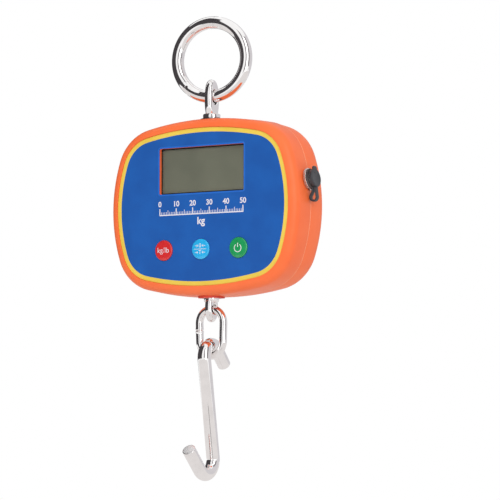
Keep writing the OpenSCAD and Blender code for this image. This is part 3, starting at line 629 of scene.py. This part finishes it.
def outline(out):
    """The housing's outline as [across, up], moved outward by out."""
    top, side = Vector((0, BODY_H / 2 - TOP_BOW_R)), Vector((BODY_W / 2 - SIDE_BOW_R, 0))
    corner = corner_centre()
    a = math.atan2(*(corner - top).yx)
    b = math.atan2(*(corner - side).yx)
    quarter = arc(top, TOP_BOW_R + out, math.pi / 2, a, 14) + arc(corner, CORNER_R + out, a, b, 22)
    quarter += arc(side, SIDE_BOW_R + out, b, 0, 12) + [Vector((BODY_W / 2 + out, 0))]
    lower = [Vector((p.x, -p.y)) for p in reversed(quarter[:-1])]
    half = quarter + lower
    return half + [Vector((-p.x, p.y)) for p in reversed(half[1:-1])]


def level(y, out):
    """The housing's outline at one depth."""
    return [Vector((p.x, y, p.y + BODY_Z)) for p in outline(out)]


def slab(name, y0, y1, out):
    """A block with the housing's outline."""
    return loft(name, [level(y0, out), level(y1, out)])


def bar(name, centre, axis, radius, start, end, sides=96):
    """A plain cylinder along an axis."""
    return turned(name, [(radius, start), (radius, end)], centre, axis, sides)


def flared(name, centre, axis, radius, start, end, flare, sides=96):
    """A cutter for a hole whose rim, at end, is rounded outward."""
    profile = [(radius, start), (radius, end - flare)]
    profile += [(radius + loss, end - flare + ahead) for ahead, loss in quarter_round(flare, 4)]
    profile += [(radius + flare, end + 3)]
    return turned(name, profile, centre, axis, sides)


def window_edge(grow, y):
    """The window's outline at one depth, moved outward by grow."""
    centre = middle("display_window")
    return [Vector((centre.x + u, y, centre.z + v))
            for u, v in rounded_rectangle(WINDOW_W + 2 * grow, WINDOW_H + 2 * grow, WINDOW_R + grow)]


def window_cutter(y0, y1):
    """A cutter for the display's opening."""
    return loft("cut", [window_edge(0, y) for y in (y0, y1)])


def key_cutters(sides):
    """Cutters for the round holes that the keys stand in."""
    return [bar("cut", middle(key), Y, KEY_D / 2 + KEY_GAP, -12, 12, sides) for key in KEYS]


def ports():
    """Cutters for the holes in the housing's roof, floor and side."""
    roof_r, floor_r, inlet_r = 8, 9.4, 5.6
    body = Vector((0, 0, BODY_Z))
    inlet, axis = mount("charging_inlet")
    return [bar("cut", body, Z, roof_r, 40, 80), bar("cut", body, -Z, floor_r, 40, 80),
            bar("cut", inlet, axis, inlet_r, -20, 20)]


def front_shell():
    """The front shell: drafted walls, a full round to the rim and a recess for the film."""
    levels = [(PARTING_Y - LIP + ahead, -loss) for ahead, loss in reversed(quarter_round(LIP, 4))]
    levels += [(PARTING_Y - LIP, 0)]
    shoulder = RIM_Y + FRONT_ROUND
    for k in range(13):
        a = math.pi / 2 * k / 12
        levels.append((shoulder - FRONT_ROUND * math.sin(a), -FRONT_DRAFT - FRONT_ROUND * (1 - math.cos(a))))
    shell = loft("front_shell_skin", [level(y, out) for y, out in levels])
    rim_r, edge = 0.35, -OVERLAY_INSET + 0.1
    recess = [level(PLATE_Y, edge), level(RIM_Y + rim_r, edge)]
    recess += [level(RIM_Y + rim_r - ahead, edge + loss) for ahead, loss in quarter_round(rim_r, 4)]
    recess += [level(RIM_Y - 2, edge + rim_r)]
    cuts = [loft("cut", recess), slab("cut", INSIDE_Y, shoulder, -WALL - 2),
            slab("cut", shoulder - 0.01, PARTING_Y + 1, -WALL),
            window_cutter(PLATE_Y - 1, INSIDE_Y + 1)]
    combine(shell, cuts + ports() + key_cutters(64), "DIFFERENCE")
    return finish(shell, "scale", FINISHES["orange_shell"], ["front_shell"])


def rear_shell():
    """The rear shell: drafted walls and a large round to a flat back with four screw recesses."""
    front = PARTING_Y + 0.06
    levels = [(front + LIP - ahead, -loss - SEAM_STEP) for ahead, loss in reversed(quarter_round(LIP, 4))]
    levels += [(front + LIP, -SEAM_STEP)]
    step = BACK_Y - REAR_ROUND
    for k in range(15):
        a = math.pi / 2 * k / 14
        levels.append((step + REAR_ROUND * math.sin(a), -REAR_DRAFT - REAR_ROUND * (1 - math.cos(a))))
    shell = loft("rear_shell_skin", [level(y, out) for y, out in levels])
    cuts = [slab("cut", PARTING_Y - 1, step, -WALL - 0.8), slab("cut", step - 0.01, step + 5, -WALL - 2.4),
            slab("cut", step + 4.99, BACK_Y - WALL, -WALL - 5.9)] + ports()
    combine(shell, cuts, "DIFFERENCE")
    post_r, post_l, hole_r, hole_l, flare = 4.2, 9, 3.2, 7.2, 0.4
    posts, holes = [], []
    for x, z in screw_places():
        centre = Vector((x, 0, z))
        posts.append(bar("post", centre, Y, post_r, BACK_Y - post_l, BACK_Y - WALL + 0.2, 48))
        holes.append(flared("cut", centre, Y, hole_r, BACK_Y - hole_l, BACK_Y, flare, 48))
    combine(shell, posts, "UNION")
    combine(shell, holes, "DIFFERENCE")
    return finish(shell, "scale", FINISHES["orange_shell"], ["rear_shell"])


def parting_line():
    """A bead in the seam between the shells, coloured pale orange as a painted highlight along the seam."""
    path = level(PARTING_Y + 0.03, -SEAM_STEP)
    bead = loft("parting_bead", along(path, Y, [circle(0.2, 8)] * len(path), closed=True), closed=True)
    finish(bead, "scale", SEAM_PAINTED_HIGHLIGHT, angle=80)


def screw_places():
    """The four screws as [across, up]."""
    lo, hi = low("shell_screws"), high("shell_screws")
    return [(x, z) for x in (lo.x + SCREW_R, hi.x - SCREW_R) for z in (lo.z + SCREW_R, hi.z - SCREW_R)]


def shell_screws():
    """Pan-head screws with a cross recess."""
    head_y = high("shell_screws").y
    crown_h, head_h, shank_r, shank_l, slot_l, slot_w = 1.1, 2.2, 1.45, 30, 3.2, 0.8
    for number, (x, z) in enumerate(screw_places()):
        centre = Vector((x, head_y, z))
        crown = [(SCREW_R * math.sin(a), -crown_h * (1 - math.cos(a)))
                 for a in (math.pi / 2 * k / 6 for k in range(1, 7))]
        profile = [(0, 0)] + crown
        profile += [(SCREW_R, -head_h), (shank_r, -head_h), (shank_r, -shank_l), (0, -shank_l)]
        screw = turned(f"shell_screw_{number + 1}", profile, centre, Y, 48)
        blades = [extruded("cut", rounded_rectangle(slot_l, slot_w, 0.2, 2), centre - Y * 0.4, a, b, 2.0)
                  for a, b in ((X, Z), (Z, X))]
        combine(screw, blades, "DIFFERENCE")
        soften(screw, 0.08, 2)
        finish(screw, "scale", FINISHES["plated_steel"], ["shell_screws"])


# ---- Face ----

def face_film():
    """The printed film: a yellow border round a blue field, with a raised frame round the window."""
    inset, edge = -OVERLAY_INSET, 0.15
    outer = [level(PLATE_Y, inset), level(OVERLAY_Y + edge, inset)]
    outer += [level(OVERLAY_Y + edge - ahead, inset - loss) for ahead, loss in quarter_round(edge, 3)]
    inner = [level(OVERLAY_Y, inset - BORDER_W), level(PLATE_Y, inset - BORDER_W)]
    border = loft("film_border", outer + inner, closed=True)
    finish(border, "scale", BORDER_FILM, ["face_overlay"])
    field = slab("film_field", OVERLAY_Y, PLATE_Y, inset - BORDER_W)
    combine(field, [window_cutter(OVERLAY_Y - 1, PLATE_Y + 1)] + key_cutters(96), "DIFFERENCE")
    finish(field, "scale", FINISHES["overlay_film"], ["face_overlay"])
    half_w, height, sunk = 0.55, 0.14, 0.2
    hump = [(half_w * math.cos(a), -height * math.sin(a)) for a in (math.pi * k / 8 for k in range(9))]
    hump += [(-half_w, sunk), (half_w, sunk)]
    ridge = window_loop("window_frame", 0.6, OVERLAY_Y, hump)
    finish(ridge, "scale", WINDOW_LIP, ["face_overlay"], angle=60)
    line = window_loop("window_border", -0.45, INSIDE_Y - 0.02, flat_section(0.45, 0.01))
    finish(line, "scale", BLACK_INK)


def window_loop(name, grow, y, section):
    """A loop of one section round the window, grow outside its edge."""
    path = window_edge(grow, y)
    return loft(name, along(path, Y, [section] * len(path), closed=True), closed=True)


def printing():
    """White print: a graduated line from 0 to 50 with its numbers, and the unit under it."""
    face = OVERLAY_Y - INK_T / 2
    span, base, line_w, last = 68, BODY_Z - 4.6, 0.7, 50
    points, faces = [], []

    def mark(x, z, w, h):
        """A printed bar, h tall, on its foot's middle."""
        start = len(points)
        points.extend((x + u * w / 2, y, z + v * h) for y in (face + INK_T, face - INK_T / 2)
                      for u, v in ((-1, 0), (1, 0), (1, 1), (-1, 1)))
        faces.extend([[start + k for k in side] for side in
                      ((0, 1, 2, 3), (7, 6, 5, 4), (0, 4, 5, 1), (1, 5, 6, 2), (2, 6, 7, 3), (3, 7, 4, 0))])

    def place_of(number):
        return span * number / last - span / 2

    for number in range(last + 1):
        tall = 4.2 if number % 10 == 0 else 3.0 if number % 5 == 0 else 1.8
        mark(place_of(number), base, 0.75 if number % 10 == 0 else 0.4, tall)
    mark(0, base - line_w, span + line_w, line_w)
    finish(piece("print_scale", points, faces), "scale", WHITE_INK)
    for number in range(0, last + 1, 10):
        place = Vector((place_of(number), face, base + 7.2))
        finish(words(f"print_{number}", str(number), 5.2, 0.12, place), "scale", WHITE_INK)
    finish(words("print_unit", "kg", 7.0, 0.16, Vector((0, face, base - 5.4))), "scale", WHITE_INK)


def key_cap(node, slot, sign):
    """A domed key with a rounded rim, a flange behind the film and a stem. Its sign follows the dome."""
    centre = middle(node)
    front = low(node).y
    r, dome, edge, stem_r = KEY_D / 2, 0.42, 0.8, 1.7
    flat_r, flange_r = r - edge, r + 1.3
    flange_front, flange_back = INSIDE_Y + 0.1 - front, INSIDE_Y + 0.9 - front
    profile = [(flat_r * k / 12, dome * (k / 12) ** 2) for k in range(13)]
    profile += [(flat_r + edge * math.sin(a), dome + edge * (1 - math.cos(a)))
                for a in (math.pi / 2 * k / 8 for k in range(1, 9))]
    back = high(node).y - front
    profile += [(r, flange_front), (flange_r, flange_front), (flange_r, flange_back),
                (stem_r, flange_back), (stem_r, back), (0, back)]
    key = turned(node + "_cap", profile, Vector((centre.x, front, centre.z)), Y)
    finish(key, node, FINISHES[slot], [node])
    origin = Vector((centre.x, front - 0.02, centre.z))
    for number, mark in enumerate(sign(origin)):
        mark.name = f"{node}_mark_{number + 1}"
        for vertex in mark.data.vertices:
            across, up = vertex.co.x / MM - centre.x, vertex.co.z / MM - centre.z
            vertex.co.y += dome / flat_r ** 2 * (across ** 2 + up ** 2) * MM
        finish(mark, node, WHITE_INK)


def stroke(points, width, origin):
    """A printed line through [across, up] points."""
    path = [origin + X * u + Z * v for u, v in points]
    section = flat_section(width / 2, INK_T / 2)
    return loft("stroke", along(path, Y, [section] * len(path)))


def arrow(tip, direction, origin):
    """A short arrow pointing across to its tip."""
    u, v = tip
    shaft = [(u - direction * 2.6, v), (u - direction * 1.3, v), (u, v)]
    head = [(u - direction * 1.0, v + 0.8), (u, v), (u - direction * 1.0, v - 0.8)]
    return [stroke(line, 0.34, origin) for line in (shaft, head)]


def unit_sign(origin):
    return [words("sign", "kg/lb", 5.2, -0.02, origin)]


def zero_sign(origin):
    """Zero above a rule and tare below it, each between two arrows."""
    rule_w, gap, steps = 10, 1.6, 12
    signs = [stroke([(rule_w * k / steps - rule_w / 2, 0) for k in range(steps + 1)], 0.3, origin)]
    for character, up in (("0", 2.3), ("T", -2.3)):
        signs.append(words("sign", character, 4.0, -0.01, origin + Z * up))
        signs += arrow((-gap, up), 1, origin) + arrow((gap, up), -1, origin)
    return signs


def power_sign(origin):
    """A broken ring with a bar in its gap."""
    r, width = 2.7, 0.55
    turns = [math.radians(125 + 290 * k / 36) for k in range(37)]
    return [stroke([(r * math.cos(a), r * math.sin(a) - 0.3) for a in turns], width, origin),
            stroke([(0, 0.3), (0, 1.7), (0, 3.2)], width, origin)]


def keypad():
    key_cap("unit_key", "red_key", unit_sign)
    key_cap("zero_key", "blue_key", zero_sign)
    key_cap("power_key", "green_key", power_sign)


# ---- Eyes, link and hook ----

def eye_loop(w, up, neck, shank_r, steps=28):
    """The side view of an eye: a rounded end, then a waist that draws in to the shank."""
    loop = [(w / 2 * math.cos(a), up * math.sin(a))
            for a in (math.pi * k / steps for k in range(steps + 1))]
    waist = [(w / 2 - (w / 2 - shank_r) * (k / steps) ** 2.6, -neck * k / steps)
             for k in range(1, steps + 1)]
    return loop + [(-u, v) for u, v in waist] + list(reversed(waist))


def eye_bolt(node, up, w, t, hole_d, rim, neck, turn, shoulder_r):
    """An eye with flat sides and rounded rims, and a shouldered round shank. up is 1 or -1.

    w and t are the eye's width and thickness, rim what is left round its hole, neck the waist's length
    and turn its angle about the upright."""
    shank_r, tail_r, tail_l = 5.2, 4, 11
    hole_z = (high(node).z - rim - hole_d / 2) if up > 0 else (low(node).z + rim + hole_d / 2)
    centre = Vector((0, 0, hole_z))
    across = Vector((-math.sin(turn), math.cos(turn), 0))
    normal = Vector((math.cos(turn), math.sin(turn), 0))
    loop = eye_loop(w, hole_d / 2 + rim, neck + 1, shank_r)
    blade = rounded_slab(node + "_eye", loop, centre, across, Z * up, t, t * 0.45)
    lip = 1.1
    wide_r = hole_d / 2 + lip
    half = [(wide_r, -t), (wide_r, -t / 2 - 0.001)]
    half += [(wide_r - ahead, loss - t / 2) for ahead, loss in quarter_round(lip, 6)]
    hole = turned("cut", half + [(radius, -place) for radius, place in reversed(half)], centre, normal)
    combine(blade, [hole], "DIFFERENCE")
    end = abs(hole_z - (low(node).z if up > 0 else high(node).z))
    foot = neck + 2.7
    profile = [(shoulder_r - 1.6, neck - 0.5), (shoulder_r - 0.4, neck - 0.1), (shoulder_r, neck + 0.4),
               (shoulder_r, foot - 0.2), (shoulder_r - 0.2, foot), (shank_r, foot + 0.01),
               (shank_r, end - tail_l), (tail_r, end - tail_l + 0.01), (tail_r, end)]
    shank = turned("shank", profile, centre, -Z * up, 64)
    combine(blade, [shank], "UNION")
    return finish(blade, "scale", FINISHES["polished_steel"], [node], 40)


def eye_bolts():
    eye_bolt("top_eye_bolt", 1, w=15.4, t=6, hole_d=10.4, rim=7.2, neck=12.1, turn=RING_TURN, shoulder_r=6.1)
    eye_bolt("bottom_eye_bolt", -1, w=11.6, t=5.5, hole_d=7, rim=5.6, neck=5, turn=0, shoulder_r=5.21)


def chain_link():
    """The link: one bent wire, a little narrower at its foot, with its butt joint on the left."""
    lo, hi = low("chain_link"), high("chain_link")
    r = (hi.y - lo.y) / 2
    bend_r = (hi.x - lo.x) / 2 - r
    half = (hi.z - lo.z) / 2 - r - bend_r
    centre = middle("chain_link")
    taper, joint_z, away = 0.09, 1.5, 99
    path = []
    for side, start in ((1, 0), (-1, 180)):
        path += [Vector((bend_r * math.cos(a), 0, side * half + bend_r * math.sin(a)))
                 for a in (math.radians(start + 180 * k / 40) for k in range(41))]
        steps = 60 if side > 0 else 12
        path += [Vector((-side * bend_r, 0, side * half * (1 - 2 * k / steps))) for k in range(1, steps)]
    for point in path:
        point.x *= 1 - taper * (1 - point.z / (half + bend_r)) / 2
    sections = []
    for point in path:
        near = abs(point.z - joint_z) if point.x < 0 else away
        swelling = 0.24 * math.exp(-(near / 1.7) ** 2)
        groove = 0.5 * math.exp(-(near / 0.35) ** 2)
        sections.append(circle(r - 0.12 + swelling - groove, 40))
    link = loft("link_wire", along([centre + p for p in path], Y, sections, closed=True), closed=True)
    return finish(link, "link", FINISHES["polished_steel"], ["chain_link"])


def load_hook():
    """The hook: a round bar with a straight stub, a bend over the link, a leaning shank and a blunt tip."""
    lo, hi = low("load_hook"), high("load_hook")
    r = (hi.x - lo.x) / 2
    top_r, low_r, shank, stub, tip = 9.3, 10, 67.8, 15.8, 20.4
    stub_angle, lean, tip_angle = math.radians(42), math.radians(9.6), math.radians(-135.6)
    top = Vector((0, hi.z - r - top_r))

    def on_circle(a):
        return Vector((math.cos(a), math.sin(a)))

    def past_circle(a):
        return Vector((math.sin(a), -math.cos(a)))

    foot = top - (top_r + low_r) * on_circle(lean) + shank * past_circle(lean)
    bend_start, bend_end = top + top_r * on_circle(stub_angle), foot + low_r * on_circle(tip_angle)
    line = [bend_start + past_circle(stub_angle) * stub * (1 - k / 8) for k in range(8)]
    line += arc(top, top_r, stub_angle, math.pi + lean, 48)
    knee, heel = top - top_r * on_circle(lean), foot + low_r * on_circle(lean)
    line += [knee.lerp(heel, k / 24) for k in range(24)]
    line += arc(foot, low_r, lean, tip_angle, 48)
    line += [bend_end + past_circle(tip_angle) * tip * k / 10 for k in range(11)]
    hook = rod("hook_bar", [Vector((0, p.x, p.y)) for p in line], X, r, 1.8, 0.6, 64)
    finish(hook, "hook", FINISHES["polished_steel"], ["load_hook"])
    hook.data.materials.append(SAWN_END.material)
    tip_way = past_circle(tip_angle)
    for face in hook.data.polygons:
        if face.normal.dot(Vector((0, *tip_way))) > 0.99:
            face.material_index = 1


# ---- Inlet and cap ----

def inlet_axes():
    """The nose's end, the direction out of the wall, and up along the wall."""
    nose, axis = mount("charging_inlet")
    return nose, axis, axis.cross(Y)


def ring_profile(inner_r, outer_r, back, front, edge):
    """A ring's section as a closed list of [radius, place along the axis], with its outer rims rounded."""
    profile = [(inner_r, back)]
    for foot, turn in ((back + edge, -1), (front - edge, 1)):
        arcs = [(outer_r - edge + edge * math.cos(a), foot + turn * edge * math.sin(a))
                for a in (math.pi / 2 * k / 4 for k in range(5))]
        profile += arcs if turn > 0 else list(reversed(arcs))
    return profile + [(inner_r, front)]


def spun(name, profile, centre, axis, up, sides=96):
    """A closed ring turned about an axis from a closed section."""
    rings = [[centre + axis * y + Y * u + up * v for u, v in circle(r, sides)] for r, y in profile]
    return loft(name, rings, closed=True)


def inlet_nose():
    """The plated inlet: a grooved, knurled flange on the wall, and a nose with a lip and a centre pin."""
    nose, axis, up = inlet_axes()
    rim = [(7.3, -3.8), (7.7, -3.65), (7.7, -3.35), (7.1, -3.1), (7.1, -2.7), (7.6, -2.45),
           (7.6, -2.2), (7.35, -2)]
    neck = [(5.2, -1.95), (4.8, -1.75), (4.8, -0.8)]
    lip = [(5.4, -0.75), (5.4, -0.15), (5.25, 0), (3.3, 0), (3.15, -0.15)]
    mouth = [(3.15, -11)]
    barrel = [(5.5, -11.02), (5.5, -20.8), (5.2, -20.8), (0, -20.8)]
    flange = turned("inlet_flange", rim + neck + lip + mouth + barrel, nose, axis, 192)
    teeth, depth = 48, 0.22
    for vertex in flange.data.vertices:
        away = vertex.co / MM - nose
        radial = away - axis * away.dot(axis)
        if radial.length > 7.2:
            turn = math.atan2(radial.dot(up), radial.dot(Y))
            vertex.co -= radial.normalized() * depth * (1 - math.cos(turn * teeth)) / 2 * MM
    finish(flange, "scale", FINISHES["plated_steel"], ["charging_inlet"], 30)
    pin = turned("inlet_pin", [(0, -11), (1.05, -11), (1.05, -1.4), (0.7, -1.05), (0, -1)], nose, axis, 32)
    finish(pin, "scale", FINISHES["plated_steel"], ["charging_inlet"])


def cap_washer():
    """The rubber washer behind the nose's lip, grooved round its rim."""
    nose, axis, up = inlet_axes()
    profile = ring_profile(4.95, 7.1, -1.78, -0.92, 0.28)
    washer = spun("cap_washer_ring", profile, nose, axis, up)
    finish(washer, "scale", WASHER_RUBBER, ["cap_washer"])


def dust_cap():
    """The rubber cap: a shallow dished face, a rounded rim, a spigot in the mouth and a pull tab on top."""
    nose, axis, up = inlet_axes()
    back, thick, cap_r, edge, dish, tab_t = 0.1, 2.4, 6.4, 0.6, 0.14, 1.2
    front = back + thick
    spigot = [(0, back - 0.2), (1.7, back - 0.2), (1.7, back - 2.2), (1.9, back - 2.4), (2.6, back - 2.4),
              (2.8, back - 2.2), (2.8, back)]
    rim = [(cap_r - 0.3, back), (cap_r, back + 0.3)]
    rim += [(cap_r - edge + edge * math.cos(a), front - edge + edge * math.sin(a))
            for a in (math.pi / 2 * k / 6 for k in range(7))]
    face = [(4.9, front), (4.5, front - dish), (0, front - dish)]
    cap = turned("dust_cap_disc", spigot + rim + face, nose, axis)
    tab_middle = nose + axis * (front - tab_t / 2) + up * 5.5
    tab = extruded("tab", rounded_rectangle(5.2, 5.4, 1.6), tab_middle, Y, up, tab_t)
    soften(tab, 0.35, 3)
    combine(cap, [tab], "UNION")
    finish(cap, "cap", FINISHES["black_rubber"], ["dust_cap"])


def cap_strap():
    """The strap: from the washer down round a fold and up to the cap."""
    nose, axis, up = inlet_axes()
    box_lo, box_hi = low("cap_strap"), high("cap_strap")
    t, w, fold_r, clearance = 1.2, box_hi.y - box_lo.y, 2.45, 0.1
    centre = Vector((BODY_W / 2 + clearance + t / 2 + fold_r, nose.y, box_lo.z + fold_r + t / 2))
    washer_middle = nose - axis * 1.25
    start, knee = washer_middle - up * 6.6, washer_middle - up * 8.6
    end = nose + axis * 1.3

    def leaving(point, side):
        """The fold's angle where a line from the point touches it."""
        away = point - centre
        return math.atan2(away.z, away.x) + side * math.acos(min(1, fold_r / away.length))

    a, b = leaving(knee, 1), leaving(end, -1) + math.tau
    fold = [centre + fold_r * Vector((math.cos(a + (b - a) * k / 24), 0, math.sin(a + (b - a) * k / 24)))
            for k in range(25)]
    path = [start.lerp(knee, k / 5) for k in range(5)]
    path += [knee.lerp(fold[0], k / 3) for k in range(3)] + fold
    stop = end + (fold[-1] - end).normalized() * 5.9
    path += [fold[-1].lerp(stop, k / 6) for k in range(1, 7)]
    section = rounded_rectangle(t, w, 0.3, 3)
    strap = loft("cap_strap_band", along(path, Y, [section] * len(path)))
    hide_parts("cap_strap")
    strap.data.shade_smooth()
    strap.data.materials.append(FINISHES["black_rubber"].material)
    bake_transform(strap)


# ---- Room ----

# Level directions from the object to the camera, and to the camera's left.
# Angles here are in degrees and places in metres, apart from the floor, which piece() makes.
TOWARD = Vector((0.5138, -0.8551, 0)).normalized()
LEFT = Vector((-TOWARD.y, TOWARD.x, 0)) * -1
SQUARE = ((-1, -1), (1, -1), (1, 1), (-1, 1))
DIFFUSE_RAY = 2         # the Light Path output that is 1 for light that falls on matt surfaces


def around(angle, distance, height):
    """A place round the object. 0 degrees is toward the camera, and 90 to the camera's left."""
    a = math.radians(angle)
    return (TOWARD * math.cos(a) + LEFT * math.sin(a)) * distance + Z * height


def card(name, corners, shade):
    """A sheet beside the object that only its reflections show."""
    mesh = bpy.data.meshes.new(name)
    mesh.from_pydata(corners, [], [list(range(k, k + 4)) for k in range(0, len(corners), 4)])
    sheet = bpy.data.objects.new(name, mesh)
    bpy.context.collection.objects.link(sheet)
    paint = Paint(name, Base_Color=(0, 0, 0, 1), Roughness=1, Specular_IOR_Level=0,
                  Emission_Color=(*shade, 1), Emission_Strength=1)
    mesh.materials.append(paint.material)
    sheet.visible_camera = False
    sheet.visible_diffuse = False
    sheet.visible_shadow = False
    sheet.visible_transmission = False


def wall(name, from_angle, to_angle, foot, top, distance, shade):
    """A curved sheet round part of the object, from one angle and height to another."""
    steps = max(1, round(abs(to_angle - from_angle) / 6))
    corners = []
    for k in range(steps):
        a = from_angle + (to_angle - from_angle) * k / steps
        b = from_angle + (to_angle - from_angle) * (k + 1) / steps
        corners += [around(a, distance, foot), around(b, distance, foot),
                    around(b, distance, top), around(a, distance, top)]
    card(name, corners, shade)


def surround():
    """White all round for the camera and for reflections, and a little dimmer as a source of light."""
    world = bpy.data.worlds.new("surround")
    bpy.context.scene.world = world
    world.use_nodes = True
    sky = Nodes(world.node_tree)
    ground = sky.tree.nodes["Background"]
    as_light = sky.node("LightPath", output=DIFFUSE_RAY)
    sky.feed(ground.inputs["Color"], (1, 1, 1, 1))
    sky.feed(ground.inputs["Strength"], sky.remap(as_light, 0, 1, 1, 0.78))


def softbox(name, place, aim, size, power):
    """A square lamp of soft light that reflections don't show."""
    lamp = bpy.data.lights.new(name, "AREA")
    lamp.energy = power
    lamp.size = size
    made = bpy.data.objects.new(name, lamp)
    bpy.context.collection.objects.link(made)
    made.location = place
    made.rotation_euler = (aim - place).to_track_quat("-Z", "Y").to_euler()
    made.visible_glossy = False


def studio_floor():
    """A white floor well below the hook. It fades to plain white away from the object's soft shadow."""
    reach, z = 4000, cad_box[0][2] / MM - 60
    floor = piece("floor", [(x * reach, y * reach, z) for x, y in SQUARE], [[0, 1, 2, 3]])
    paint = Paint("floor_paint", Roughness=0.9, Specular_IOR_Level=0.0)
    paint.colour((0.9, 0.9, 0.9))
    away = paint.node("VectorMath", {"operation": "LENGTH"}, {0: paint.place()}, output=1)
    plain = paint.remap(away, 0.42, 0.75, 0, 1)
    as_light = paint.node("LightPath", output=DIFFUSE_RAY)
    glow = paint.remap(as_light, 0, 1, 1, 0.72)
    white = paint.node("Emission", {}, {"Color": (1, 1, 1, 1), "Strength": glow})
    shaded = Value(paint, paint.shader.outputs[0])
    paint.surface(paint.node("MixShader", {}, {0: plain, 1: shaded, 2: white}))
    floor.data.materials.append(paint.material)


def room():
    """Plain soft light, and the cards that the polished metal mirrors."""
    surround()
    softbox("softbox", Vector((1.1, -1.5, 0.5)), aim=Vector((0, 0, -0.15)), size=1.4, power=17)
    studio_floor()
    dark, grey, mist, bright = (0.06, 0.054, 0.058), (0.3, 0.28, 0.29), (0.66, 0.64, 0.66), (3, 3, 3)
    wall("left_dark", 42, 100, -0.285, 2.2, 1.0, dark)
    wall("left_dark_far", 100, 180, -0.285, 0.9, 1.0, dark)
    wall("front_grey", -12, 8, -0.25, 1.4, 1.3, grey)
    wall("right_light", -36, -18, -0.45, 1.1, 1.3, bright)
    wall("right_grey", -70, -42, -0.25, 1.4, 1.3, grey)
    wall("right_mist", -178, -72, -0.5, 1.4, 1.3, mist)
    table = cad_box[0][2] - 0.055
    card("table_mist", [Vector((x, y, table)) for x, y in SQUARE], (0.78, 0.75, 0.74))
    seam = table + 0.001
    card("table_seam", [around(5, 0.22, seam), around(-1, 0.22, seam), around(-1, 0.36, seam),
                        around(5, 0.36, seam)], dark)


# ---- The whole ----

def build():
    finish_frame()
    front_shell()
    rear_shell()
    shell_screws()
    parting_line()
    face_film()
    printing()
    keypad()
    eye_bolts()
    chain_link()
    load_hook()
    inlet_nose()
    cap_washer()
    dust_cap()
    cap_strap()
    room()


place_camera()
build()
bpy.context.scene.view_settings.view_transform = "Standard"
